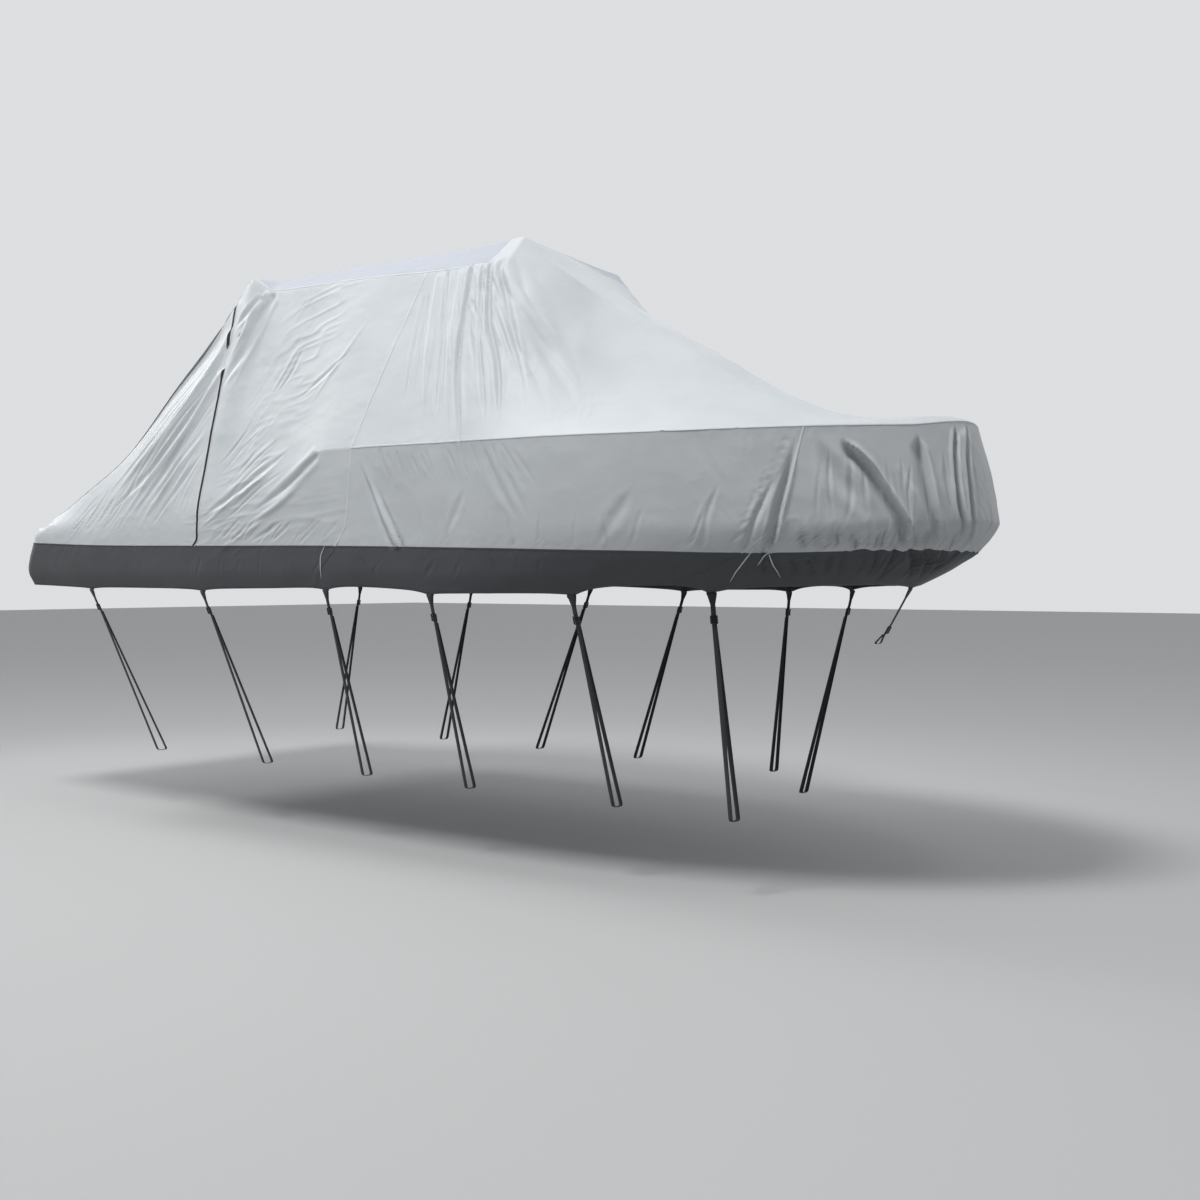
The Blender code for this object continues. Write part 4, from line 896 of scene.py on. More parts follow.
def panel_numbers():
    """The panels' names, and the number of the panel that each cell belongs to."""
    names = []

    def number(name):
        if name not in names:
            names.append(name)
        return names.index(name)

    coarse = np.array([[number(top_panel(i, k)) for k in range(2 * LINES)]
                       for i in range(len(COARSE) - 1)])
    top = coarse[STATION_OWNER[:, None], LINE_OWNER[None, :]]
    ring = [("starboard", i) for i in STATION_OWNER] + [("bow", 0)] * (N_LINES - 1)
    ring += [("port", i) for i in STATION_OWNER[::-1]] + [("stern", 0)] * (N_LINES - 1)
    wall = np.array([[number(band_panel(*place)) if row < BAND_TOP_LEVEL
                      else number(skirt_panel(*place)) for row in ROW_OWNER] for place in ring])
    return names, wall, top


PANEL_NAMES, WALL_PANEL, TOP_PANEL = panel_numbers()
QUAD_PANEL = np.concatenate([WALL_PANEL.ravel(), TOP_PANEL.ravel()])


# ---------------------------------------------------------------- seams, where panels meet
PUCKER_CELLS = 4            # cells each side of a seam that its puckers reach
SEAM_STEPS = np.arange(-PUCKER_CELLS, PUCKER_CELLS + 1)


def spans(first, second):
    """Start and end of each run of cells that lie in the same two different panels."""
    key = np.where(first != second, first * len(PANEL_NAMES) + second + 1, 0)
    marks = [0, *(np.flatnonzero(np.diff(key)) + 1), len(key)]
    return [(low, high) for low, high in zip(marks[:-1], marks[1:]) if key[low]]


def seam_runs():
    """Each seam as rows of point numbers beside it, the middle row its own; and its panels."""
    ring = CLOSED_RING_ID.T
    cuts = [(WALL_ID[(a + SEAM_STEPS) % N_RING], WALL_PANEL[a - 1], WALL_PANEL[a])
            for a in range(N_RING)]
    cuts += [(ring[np.clip(row + SEAM_STEPS, 0, N_ROWS - 1)],
              WALL_PANEL[:, row - 1], WALL_PANEL[:, row]) for row in range(1, N_ROWS - 1)]
    cuts += [(TOP_ID[np.clip(i + SEAM_STEPS, 0, N_STATIONS - 1)],
              TOP_PANEL[i - 1], TOP_PANEL[i]) for i in range(1, N_STATIONS - 1)]
    cuts += [(TOP_ID.T[np.clip(k + SEAM_STEPS, 0, N_LINES - 1)],
              TOP_PANEL[:, k - 1], TOP_PANEL[:, k]) for k in range(1, N_LINES - 1)]
    # The gunwale's two sides and the bow, where the wall goes over into the top.
    down = np.minimum(SEAM_STEPS, 0) - 1
    inward = np.maximum(SEAM_STEPS, 0)
    for rim, above, lower, upper in (
            (STARBOARD_RING, TOP_ID.T[inward],
             WALL_PANEL[STARBOARD_RING[:-1], -1], TOP_PANEL[:, 0]),
            (PORT_RING, TOP_ID.T[-1 - inward], WALL_PANEL[PORT_RING[1:], -1], TOP_PANEL[:, -1]),
            (BOW_RING, TOP_ID[-1 - inward], WALL_PANEL[BOW_RING[:-1], -1], TOP_PANEL[-1])):
        cuts.append((np.where(SEAM_STEPS[:, None] < 0, WALL_ID[rim].T[down], above), lower, upper))
    return [(ids[:, low:high + 1], first[low], second[low])
            for ids, first, second in cuts for low, high in spans(first, second)]


SEAM_RUNS = seam_runs()


# ---------------------------------------------------------------- folds
def smooth_line(line, steps=5):
    """A line's points with a smooth curve run through them."""
    places = distances(line)
    fine = np.linspace(0, places[-1], steps * (len(line) - 1) + 1)
    return smooth_table(places, line, fine)


def from_line(flat, line):
    """For points near a line: distance along it, signed distance off it, the line's length."""
    best = np.full(len(flat), 1e9)
    along, off = np.zeros((2, len(flat)))
    start = 0.0
    for a, b in zip(line[:-1], line[1:]):
        length = math.dist(a, b)
        ahead = (b - a) / length
        t = np.clip((flat - a) @ ahead, 0, length)
        away = flat - a - t[:, None] * ahead
        distance = np.hypot(*away.T)
        side = np.sign(away[:, 0] * ahead[1] - away[:, 1] * ahead[0])
        nearer = distance < best
        best = np.where(nearer, distance, best)
        along = np.where(nearer, start + t, along)
        off = np.where(nearer, distance * side, off)
        start += length
    return along, off, start


def close_to(line, flat, here, reach):
    """Numbers of the points, of those allowed, in the box round a line."""
    low, high = line.min(0) - reach, line.max(0) + reach
    return np.flatnonzero(here & np.all((flat > low) & (flat < high), axis=1))


def fold_profile(profile, off):
    """Outward height across a fold at offsets in half widths, depth taken as one."""
    if profile == "ridge":
        return np.exp(-off ** 2)
    if profile == "lap":
        gentle = -np.exp(-(off / 1.7) ** 2)
        steep = -np.exp(-(off / 0.40) ** 2) + 0.35 * np.exp(-(off + 0.9) ** 2 / 0.4)
        return np.where(off > 0, gentle, steep)
    if profile == "crease":
        banks = 0.32 * np.exp(-(np.abs(off) - 1.6) ** 2 / 0.6)
        return banks - 0.6 * np.exp(-2.2 * np.abs(off)) - 0.4 * np.exp(-1.3 * off ** 2)
    return 0.30 * np.exp(-(np.abs(off) - 1.9) ** 2) - np.exp(-off ** 2)


def line_point(line, share):
    """Point at a share of a line's length."""
    places = distances(line)
    return np.array([np.interp(share * places[-1], places, values) for values in zip(*line)])


def family_folds(family):
    """The folds of one family, their places and sizes uneven."""
    profile, ends, count, depths, widths, seed, first_line, second_line = family
    draw = np.random.default_rng(seed)
    folds = []
    for j in range(count):
        share = (j + 0.5 + draw.uniform(-UNEVEN_PLACE, UNEVEN_PLACE)) / count
        other = np.clip(share + draw.uniform(-UNEVEN_SLANT, UNEVEN_SLANT), 0, 1)
        start = line_point(first_line, share)
        end = line_point(second_line, other)
        start, end = (start + (end - start) * draw.uniform(0, UNEVEN_LENGTH),
                      end + (start - end) * draw.uniform(0, UNEVEN_LENGTH))
        across = np.array([end[1] - start[1], start[0] - end[0]])
        middle = 0.5 * (start + end) + across * draw.uniform(-UNEVEN_BEND, UNEVEN_BEND)
        folds.append((profile, ends, draw.uniform(*depths), draw.uniform(*widths),
                      *start, *middle, *end))
    return folds


def folded(rows, flat, here, fade):
    """Outward movement from rows of folds, of the points allowed, each faded by its own share."""
    total = np.zeros(len(flat))
    for profile, ends, depth, half_width, *numbers in rows:
        width = half_width * MM
        line = smooth_line(np.reshape(numbers, (-1, 2)))
        near = close_to(line, flat, here, REACH * width)
        if not len(near):
            continue
        along, off, length = from_line(flat[near], line)
        run_in, run_out = (share * length for share in ENDS[ends])
        set_in = ramp(along, 0, run_in) * (1 - ramp(along, length - run_out, length))
        wide = width * (FOLD_NARROWING + (1 - FOLD_NARROWING) * set_in)
        cut = 1 - ramp(np.abs(off) / wide, REACH - 0.8, REACH)
        total[near] += fade[near] * set_in * cut * depth * MM * fold_profile(profile, off / wide)
    return total


def fold_heights():
    """Outward movement of the cloth at each point, from the folds."""
    total = slope_heights()
    for side, folds, families in ((STARBOARD, STARBOARD_FOLDS, STARBOARD_FAMILIES),
                                  (PORT, PORT_FOLDS, PORT_FAMILIES)):
        rows = [*folds, *(fold for family in families for fold in family_folds(family))]
        y = side * BASE[:, 1]
        total += folded(rows, FLAT, y > 0, ramp(y, *SIDE_FADE))
    return total


def slope_heights():
    """Outward movement of the roof and the slopes, from their own folds."""
    fade = 1 - ramp(np.abs(BASE[:, 1]), *SLOPE_FADE)
    return folded(SLOPE_FOLDS, BASE[:, :2], np.arange(len(BASE)) >= N_WALL, fade)


def wrinkle_heights():
    """Patches of fine streaks, sharpest where the noise between cells crosses zero."""
    total = np.zeros(len(BASE))
    for side, line, reach, slope, along, across, height, seed in WRINKLES:
        line = smooth_line(line)
        near = close_to(line, FLAT, side * BASE[:, 1] > 0, reach)
        _, off, _ = from_line(FLAT[near], line)
        cos, sin = math.cos(math.radians(slope)), math.sin(math.radians(slope))
        u, v = (FLAT[near] @ np.array([[cos, -sin], [sin, cos]])).T
        bend = value_noise(np.stack([u, v], -1) / BEND_CELL, seed + 100)
        v = v + BEND * bend
        noise = value_noise(np.stack([u / along, v / across], -1), seed)
        streak = (1 - np.abs(noise)) ** 3 - STREAK_MEAN
        strength = value_noise(np.stack([u, v], -1) / STRENGTH_CELLS, seed + 200)
        fade = 1 - ramp(np.abs(off), 0.2 * reach, reach)
        total[near] += height * fade * (0.6 + 0.4 * strength) * streak
    return total


def broad_roll():
    """Low waves that keep the cloth from lying dead smooth."""
    return sum(height * np.sin(BASE @ np.array(turn) + start)
               for turn, start, height in ROLL_WAVES)


def cloth_noise():
    """Small unevenness of hung cloth."""
    y, z = BASE[:, 1], BASE[:, 2]
    s = FLAT[:, 0] * np.sign(y + 1e-9)
    return sum(height * value_noise(np.stack([s / cell, z / z_cell, y / cell], -1), seed, 32)
               for cell, z_cell, height, seed in CLOTH_NOISE)


PUCKER_CELL = 0.026         # length of one pucker along a seam
PUCKER = 0.0013             # and its height
PUCKER_SEED = 200
ZIP_SINK = 0.0012           # the zip's tape lies this far below the cloth's face


def seam_puckers():
    """Small gathers beside each seam, and the zip's tape let in a little."""
    total = np.zeros(len(BASE))
    tape = [PANEL_NAMES.index(name) for name in ("zip_lower", "zip_upper")]
    for number, (ids, *pair) in enumerate(SEAM_RUNS):
        if any(panel in tape for panel in pair):
            continue
        places = distances(BASE[ids[PUCKER_CELLS]])
        for row, step in zip(ids, SEAM_STEPS):
            if step:
                at = np.stack([places / PUCKER_CELL, np.full(len(places), step / 3 + 7.0)], -1)
                fade = 1 - (abs(step) - 1) / PUCKER_CELLS
                total[row] += PUCKER * fade * value_noise(at, PUCKER_SEED + number)
    on_tape = np.isin(QUAD_PANEL, tape)
    total[np.setdiff1d(QUADS[on_tape], QUADS[~on_tape])] -= ZIP_SINK
    return total


def corner_facets():
    """The cloth turns away in a flat facet along each rear corner's edge."""
    total = np.zeros(len(BASE))
    near = np.flatnonzero(np.all((FLAT > FACET_ZONE[0]) & (FLAT < FACET_ZONE[1]), axis=1))
    along, off, length = from_line(FLAT[near], smooth_line(FACET_LINE))
    set_in, fades = FACET_ENDS
    ends = ramp(along, 0, set_in * length) * (1 - ramp(along, fades * length, length))
    total[near] = -FACET_SLOPE * np.clip(off, 0, FACET_REACH) * ends
    return total


PUSH_ROUNDS = 120


def push_directions():
    """Normals evened out up the wall, so that a fold runs straight over its bends."""
    normals = point_normals(BASE)
    wall = normals[WALL_ID]
    for _ in range(PUSH_ROUNDS):
        wall[:, 1:-1] = 0.25 * wall[:, :-2] + 0.5 * wall[:, 1:-1] + 0.25 * wall[:, 2:]
    normals[WALL_ID] = unit(wall)
    return normals


HEIGHT = (fold_heights() + wrinkle_heights() + corner_facets() - broad_roll() + cloth_noise()
          + seam_puckers())
SURFACE = BASE + push_directions() * HEIGHT[:, None] - np.array(HOLD_UP)
SURFACE_NORMALS = point_normals(SURFACE)


# ---------------------------------------------------------------- materials
def new_material(name, colour, roughness, sheen=0.0):
    material = bpy.data.materials.new(name)
    material.use_nodes = True
    shader = material.node_tree.nodes["Principled BSDF"]
    shader.inputs["Base Color"].default_value = (*colour, 1.0)
    shader.inputs["Roughness"].default_value = roughness
    shader.inputs["Sheen Weight"].default_value = sheen
    return material


def add_node(tree, kind, **settings):
    """A node with its sockets' values and its own settings given by name."""
    node = tree.nodes.new(kind)
    for name, value in settings.items():
        if name in node.inputs:
            node.inputs[name].default_value = value
        else:
            setattr(node, name, value)
    return node


def cloth_material(name, colour, darker, roughness, sheen, weave):
    """Woven cloth: uneven colour, and a rumple and a weave in its bump."""
    material = new_material(name, colour, roughness, sheen)
    tree = material.node_tree
    shader = tree.nodes["Principled BSDF"]
    link = tree.links.new
    place = add_node(tree, "ShaderNodeTexCoord")
    stain = add_node(tree, "ShaderNodeTexNoise", Scale=2.3, Detail=5.0, Roughness=0.6)
    link(place.outputs["Object"], stain.inputs["Vector"])
    tone = add_node(tree, "ShaderNodeMapRange", **{"From Min": 0.35, "From Max": 0.70})
    link(stain.outputs["Fac"], tone.inputs["Value"])
    mix = add_node(tree, "ShaderNodeMix", data_type="RGBA", A=(*colour, 1.0), B=(*darker, 1.0))
    link(tone.outputs["Result"], mix.inputs["Factor"])
    link(mix.outputs["Result"], shader.inputs["Base Color"])
    cross = add_node(tree, "ShaderNodeMath", operation="MULTIPLY")
    for j, axis in enumerate("XY"):
        wave = add_node(tree, "ShaderNodeTexWave", wave_type="BANDS", bands_direction=axis,
                        Scale=weave)
        link(place.outputs["UV"], wave.inputs["Vector"])
        link(wave.outputs["Fac"], cross.inputs[j])
    rumple = add_node(tree, "ShaderNodeTexNoise", Scale=38.0, Detail=3.0)
    link(place.outputs["Object"], rumple.inputs["Vector"])
    bump_weave = add_node(tree, "ShaderNodeBump", Strength=0.25, Distance=0.0004)
    bump_rumple = add_node(tree, "ShaderNodeBump", Strength=0.30, Distance=0.0022)
    link(cross.outputs["Value"], bump_weave.inputs["Height"])
    link(rumple.outputs["Fac"], bump_rumple.inputs["Height"])
    link(bump_rumple.outputs["Normal"], bump_weave.inputs["Normal"])
    link(bump_weave.outputs["Normal"], shader.inputs["Normal"])
    return material


CLOTH_WEAVE = 180.0         # the wave nodes' scales for the woven cloth, webbing and tape
WEBBING_WEAVE = 90.0
TAPE_WEAVE = 120.0
GREY = cloth_material("grey_polyester", (0.462, 0.482, 0.500), (0.422, 0.441, 0.460), 0.57, 0.12,
                      CLOTH_WEAVE)
# The roof's cloth is the same polyester, painted darker and bluer: painted shade on the top-lit
# roof, with a painted blue tint of sky light.
ROOF_PAINTED_SHADE_GREY = cloth_material("roof_polyester_painted_shade", (0.350, 0.368, 0.412), (0.328, 0.345, 0.388),
                           0.57, 0.12, CLOTH_WEAVE)
CHARCOAL = cloth_material("charcoal_polyester", (0.048, 0.050, 0.057), (0.038, 0.040, 0.046),
                          0.66, 0.10, CLOTH_WEAVE)
WEBBING = cloth_material("black_webbing", (0.014, 0.015, 0.017), (0.020, 0.021, 0.023), 0.72,
                         0.15, WEBBING_WEAVE)
TAPE = cloth_material("zip_tape", (0.010, 0.011, 0.013), (0.015, 0.016, 0.018), 0.80, 0.0,
                      TAPE_WEAVE)
PLASTIC = new_material("black_plastic", (0.012, 0.012, 0.013), 0.50)
# A lighter grey than the panels: the felled seams are real, and their lighter tone is a painted
# highlight along their ridges; the band's pleat strips in it are painted highlight only.
SEAM_AND_HIGHLIGHT_GREY = cloth_material("grey_seam_painted_highlight", (0.53, 0.54, 0.56), (0.49, 0.50, 0.52), 0.60, 0.10,
                           CLOTH_WEAVE)
THREAD_GREY = new_material("grey_thread", (0.56, 0.57, 0.59), 0.55)
THREAD_DARK = new_material("dark_thread", (0.075, 0.078, 0.088), 0.55)


# ---------------------------------------------------------------- the panels' cloth
def metre_map():
    """Cloth coordinates of the net's points: along the cover, and up and over it."""
    along = distances(BASE[WALL_ID[:, N_ROWS // 2]])[:, None]
    up = distances(BASE[WALL_ID])
    over = up[:N_STATIONS, -1:] + distances(BASE[TOP_ID])
    return (np.stack(np.broadcast_arrays(along, up), -1),
            np.stack(np.broadcast_arrays(along[:N_STATIONS], over), -1))


WALL_MAP, TOP_MAP = metre_map()


def add_object(name, mesh, material):
    """Puts a smooth-shaded mesh in the scene, on the CAD's body."""
    mesh.shade_smooth()
    mesh.materials.append(material)
    obj = bpy.data.objects.new(name, mesh)
    bpy.context.scene.collection.objects.link(obj)
    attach(obj, "root")
    return obj


def mesh_object(name, material, vertices, faces, uvs=None):
    """One object from arrays; uvs has a row for each face corner."""
    mesh = bpy.data.meshes.new(name)
    size = faces.shape[1]
    mesh.vertices.add(len(vertices))
    mesh.vertices.foreach_set("co", np.asarray(vertices, np.float32).ravel())
    mesh.loops.add(faces.size)
    mesh.loops.foreach_set("vertex_index", faces.astype(np.int32).ravel())
    mesh.polygons.add(len(faces))
    mesh.polygons.foreach_set("loop_start", np.arange(0, faces.size, size, dtype=np.int32))
    mesh.polygons.foreach_set("loop_total", np.full(len(faces), size, np.int32))
    mesh.update(calc_edges=True)
    if uvs is not None:
        layer = mesh.uv_layers.new(name="metres")
        layer.data.foreach_set("uv", np.asarray(uvs, np.float32).ravel())
    return add_object(name, mesh, material)


def quad_area(points, quads):
    p = points[quads]
    return 0.5 * np.linalg.norm(np.cross(p[:, 2] - p[:, 0], p[:, 3] - p[:, 1]), axis=1).sum()


HEM_TURN = (0.0015, 0.003, 0.025)   # drop of the hem's edge, its gap inside and its depth
HEM_UV_STEP = 0.01                  # step of the cloth coordinates down its three rows
CORNERS = ((0, 0), (1, 0), (1, 1), (0, 1))      # a cell's corners, in order round it


def hem_turn():
    """Rows of points that carry the hem's edge under and up inside: (ring, 3, 3)."""
    edge = SURFACE[WALL_ID[:, 0]]
    normal = SURFACE_NORMALS[WALL_ID[:, 0]]
    up = unit(SURFACE[WALL_ID[:, 1]] - edge)
    drop, gap, depth = HEM_TURN
    return np.stack([edge - normal * gap / 2 - up * drop, edge - normal * gap + up * drop,
                     edge - normal * gap + up * depth], 1)


HEM_ROWS = hem_turn()


def panel_mesh(number):
    """Vertices, faces and cloth coordinates of one panel, with its hem turned in."""
    ring, row = np.nonzero(WALL_PANEL == number)
    along, across = np.nonzero(TOP_PANEL == number)
    quads = np.concatenate([WALL_QUADS[ring, row], TOP_QUADS[along, across]])
    # The last column's cells run past the end of the map, not back to its start.
    step = (np.roll(WALL_MAP, -1, 0) - WALL_MAP)[ring, row, 0]
    wide = np.where(step > 0, step, FINE_STEP)
    wall_uv = np.stack([np.stack([WALL_MAP[ring, row, 0] + a * wide,
                                  WALL_MAP[(ring + a) % N_RING, row + b, 1]], -1)
                        for a, b in CORNERS], 1)
    top_uv = np.stack([TOP_MAP[along + a, across + b] for a, b in CORNERS], 1)
    uvs = np.concatenate([wall_uv, top_uv])
    area = quad_area(BASE, quads)
    flat = flat_size(PANEL_NAMES[number], wall_uv, top_uv, area)
    used, place = np.unique(quads, return_inverse=True)
    vertices, faces = SURFACE[used], place.reshape(-1, 4)
    if np.any(row == 0):
        vertices, faces, uvs = add_hem(ring[row == 0], used, vertices, faces, uvs)
    return vertices, faces, uvs, area, flat


def add_hem(rings, used, vertices, faces, uvs):
    """Adds the turned-in hem below the panel's lowest row."""
    columns = np.unique(np.concatenate([rings, (rings + 1) % N_RING]))
    turned = HEM_ROWS[columns].reshape(-1, 3)
    edge = np.searchsorted(used, WALL_ID[columns, 0])
    added = len(vertices) + np.arange(len(turned)).reshape(-1, 3)
    table = np.concatenate([edge[:, None], added], 1)
    p, q = (table[np.searchsorted(columns, (rings + a) % N_RING)] for a in (0, 1))
    extra = np.stack([p[:, :-1], p[:, 1:], q[:, 1:], q[:, :-1]], -1)
    u = WALL_MAP[rings, 0, 0][:, None]
    v = -HEM_UV_STEP * np.arange(1, 4)
    extra_uv = np.stack([np.stack(np.broadcast_arrays(u + a, v + b), -1)
                         for a, b in ((0, HEM_UV_STEP), (0, 0), (FINE_STEP, 0),
                                      (FINE_STEP, HEM_UV_STEP))], 2)
    return (np.concatenate([vertices, turned]),
            np.concatenate([faces, extra.reshape(-1, 4)]),
            np.concatenate([uvs, extra_uv.reshape(-1, 4, 2)]))


def flat_size(name, wall_uv, top_uv, area):
    """The rectangle that the panel is cut from: its breadth over the cover and its length."""
    wall_span, wall_length, top_span, top_length = 0.0, 0.0, 0.0, 0.0
    if len(wall_uv):
        wall_length, wall_span = np.ptp(wall_uv.reshape(-1, 2), axis=0)
    if len(top_uv):
        top_length = np.ptp(top_uv[..., 0])
        station = np.round(top_uv[:, 0, 0], 5)
        low, high = top_uv[..., 1].min(1), top_uv[..., 1].max(1)
        top_span = max(high[station == x].max() - low[station == x].min()
                       for x in np.unique(station))
    width, length = wall_span + top_span, max(wall_length, top_length)
    if name == "rear_panel":
        # The stern wall hangs from the slope's end.
        width, length = max(top_span, wall_length), top_length + wall_span
    length = math.ceil(length * 1000) / 1000
    width = max(width, area / length)
    return math.ceil(width * 1000) / 1000, length


# ---------------------------------------------------------------- sewn seams
SEAM_HALF = 0.0060          # a felled seam's half width and height
SEAM_HEIGHT = 0.0011
# A strip's points across: the cell that each leans to, its shares of half width and of height.
SEAM_PROFILE = ((-1, 1.0, 0.1), (-1, 0.86, 1.0), (0, 0.0, 1.15), (1, 0.86, 1.0), (1, 1.0, 0.1))
FACING_HALF = 0.0035        # the flaps of cloth over the zip's edges
FACING_HEIGHT = 0.0018
STITCH_PITCH = 0.006
STITCH = (0.0036, 0.0011, 0.0006)   # a stitch's length, width and height
STITCH_OFF = 0.0035         # rows of stitches lie this far each side of the seam's middle
HEM_STITCH_ROW = 1
HEM_STITCH_LIFT = 0.0002


def strip_points(ids, half, height):
    """Five points across a strip over a seam, at each of its places: (n, 5, 3)."""
    middle = SURFACE[ids[PUCKER_CELLS]]
    up = SURFACE_NORMALS[ids[PUCKER_CELLS]]
    rows = []
    for step, share, lift in SEAM_PROFILE:
        toward = SURFACE[ids[PUCKER_CELLS + step]] - middle
        length = np.maximum(np.linalg.norm(toward, axis=1, keepdims=True), 1e-6)
        rows.append(middle + toward / length * half * share + up * height * lift)
    return np.stack(rows, 1)


def strip_mesh(strip):
    """Vertices, faces and cloth coordinates of a strip."""
    count, wide = strip.shape[:2]
    faces = cell_corners(np.arange(count * wide).reshape(count, wide))
    flat = np.meshgrid(distances(strip[:, 2]), np.linspace(0, 2 * SEAM_HALF, wide), indexing="ij")
    uvs = cell_corners(np.stack(flat, -1))
    return strip.reshape(-1, 3), faces.reshape(-1, 4), uvs.reshape(-1, 4, 2)


def stitch_rows(line, side, up, offs, pitch=STITCH_PITCH, size=STITCH):
    """Low pyramids of thread along a line, offset sideways: vertices and triangles."""
    places = distances(line)
    at = np.arange(pitch / 2, places[-1], pitch)
    if not len(at):
        return np.zeros((0, 3)), np.zeros((0, 3), int)
    middle, side, up = (np.stack([np.interp(at, places, values) for values in vectors.T], -1)
                        for vectors in (line, side, up))
    side, up = unit(side), unit(up)
    ahead = unit(np.cross(side, up))
    length, width, height = size
    points = []
    for off in offs:
        centre = middle + side * off
        corners = [centre + ahead * length * (a - 0.5) + side * width * (b - 0.5)
                   for a, b in CORNERS]
        points.append(np.stack([*corners, centre + up * height], 1).reshape(-1, 3))
    first = 5 * np.arange(len(at))[:, None]
    faces = [5 * len(at) * row + first + np.array([j, (j + 1) % 4, 4])
             for row in range(len(offs)) for j in range(4)]
    return np.concatenate(points), np.concatenate(faces)


def seam_pieces():
    """For each panel, the seam strips and the stitches that go with it."""
    strips = {name: [] for name in PANEL_NAMES}
    threads = {name: [] for name in PANEL_NAMES}
    for ids, *pair in SEAM_RUNS:
        names = [PANEL_NAMES[number] for number in pair]
        zipped = [name.startswith("zip_") for name in names]
        owner = names[1] if zipped[0] else names[0]
        half, height = (FACING_HALF, FACING_HEIGHT) if any(zipped) else (SEAM_HALF, SEAM_HEIGHT)
        strip = strip_points(ids, half, height)
        strips[owner].append(strip_mesh(strip))
        offs = (STITCH_OFF, -STITCH_OFF)
        if any(zipped):
            offs = (-STITCH_OFF,) if zipped[1] else (STITCH_OFF,)
        threads[owner].append(stitch_rows(strip[:, 2], strip[:, 3] - strip[:, 1],
                                          SURFACE_NORMALS[ids[PUCKER_CELLS]], offs))
    for number, name in enumerate(PANEL_NAMES):
        rings = np.flatnonzero(WALL_PANEL[:, 0] == number)
        if len(rings):
            ring = np.append(rings, rings[-1] + 1) % N_RING
            edge, ids = WALL_ID[ring, 0], WALL_ID[ring, HEM_STITCH_ROW]
            up = SURFACE_NORMALS[ids]
            threads[name].append(stitch_rows(SURFACE[ids] + up * HEM_STITCH_LIFT,
                                             SURFACE[edge] - SURFACE[ids], up, (0.0,)))
    return strips, threads


def joined(parts):
    """Several pieces as one: vertices, faces and, where they have them, cloth coordinates."""
    vertices, faces, *uvs = zip(*parts)
    firsts = np.cumsum([0] + [len(points) for points in vertices[:-1]])
    faces = [numbers + first for numbers, first in zip(faces, firsts)]
    return [np.concatenate(column) for column in (vertices, faces, *uvs)]


SEAM_STRIPS, SEAM_THREADS = seam_pieces()


# Painted highlights: lighter grey strips on the band where light catches its pleats' edges, as
# (girth, z) lines.
PLEAT_HIGHLIGHT_LINES = {
    "band_starboard_fore": (((5.865, 0.222), (5.80, 0.14), (5.735, 0.065)),
                            ((5.945, 0.214), (5.915, 0.185), (5.885, 0.145)),
                            ((5.93, 0.222), (5.955, 0.155), (6.01, 0.085))),
    "band_starboard_aft": (((3.247, 0.262), (3.212, 0.190), (3.205, 0.080)),),
}
PLEAT_HIGHLIGHT_SIZE = (0.0032, 0.0018)       # half width and height of such a highlight strip at its middle
PLEAT_HIGHLIGHTS_BELOW = 0.35                 # height that all of them lie below
PLEAT_HIGHLIGHT_LIFT = 0.0030                 # how far it stands off the cloth
PLEAT_HIGHLIGHT_TAPER = (0.12, 0.97)          # shares of a half wave that its breadth follows
# A highlight strip's points across: shares of its half width and of its height.
PLEAT_HIGHLIGHT_PROFILE = ((-1, -0.6), (-0.7, 0.9), (0, 1.2), (0.7, 0.9), (1, -0.6))
NEAR_CLOTH = 0.014                  # reach of the smoothing that finds the cloth under it


def pleat_highlights(name):
    """Painted highlights: strips of lighter grey cloth along the band's pleats, where light
    catches their edges.
    """
    strips = []
    side = np.flatnonzero((BASE[:, 1] < 0) & (BASE[:, 2] < PLEAT_HIGHLIGHTS_BELOW))
    half, height = PLEAT_HIGHLIGHT_SIZE
    for line in PLEAT_HIGHLIGHT_LINES[name]:
        spots, ups = [], []
        for point in smooth_line(line, 14):
            away = np.hypot(*(FLAT[side] - point).T)
            share = np.exp(-(away / NEAR_CLOTH) ** 2)[:, None]
            spots.append((SURFACE[side] * share).sum(0) / share.sum())
            ups.append((SURFACE_NORMALS[side] * share).sum(0))
        spots, ups = np.array(spots), unit(np.array(ups))
        across = unit(np.cross(np.gradient(spots, axis=0), ups))
        taper = np.sin(np.linspace(*PLEAT_HIGHLIGHT_TAPER, len(spots)) * math.pi)[:, None] ** 0.6
        strips.append(strip_mesh(np.stack([
            spots + across * half * taper * share + ups * (height * taper * lift + PLEAT_HIGHLIGHT_LIFT)
            for share, lift in PLEAT_HIGHLIGHT_PROFILE], 1)))
    return strips


TOOTH_PITCH = 0.0026
TOOTH = (0.0013, 0.0046, 0.0016)    # a tooth's length along the zip, its width and height
TOOTH_OFF = 0.0008
SLIDER = (0.014, 0.0085, 0.005)     # the slider's length, width and height
PULL = (0.022, 0.0045, 0.0012)
ZIP_ROUNDING = 0.22                 # share of their least size that their edges are rounded by
ZIP_MIDDLE = (1, 2)                 # columns from the zip's edge that its middle lies between


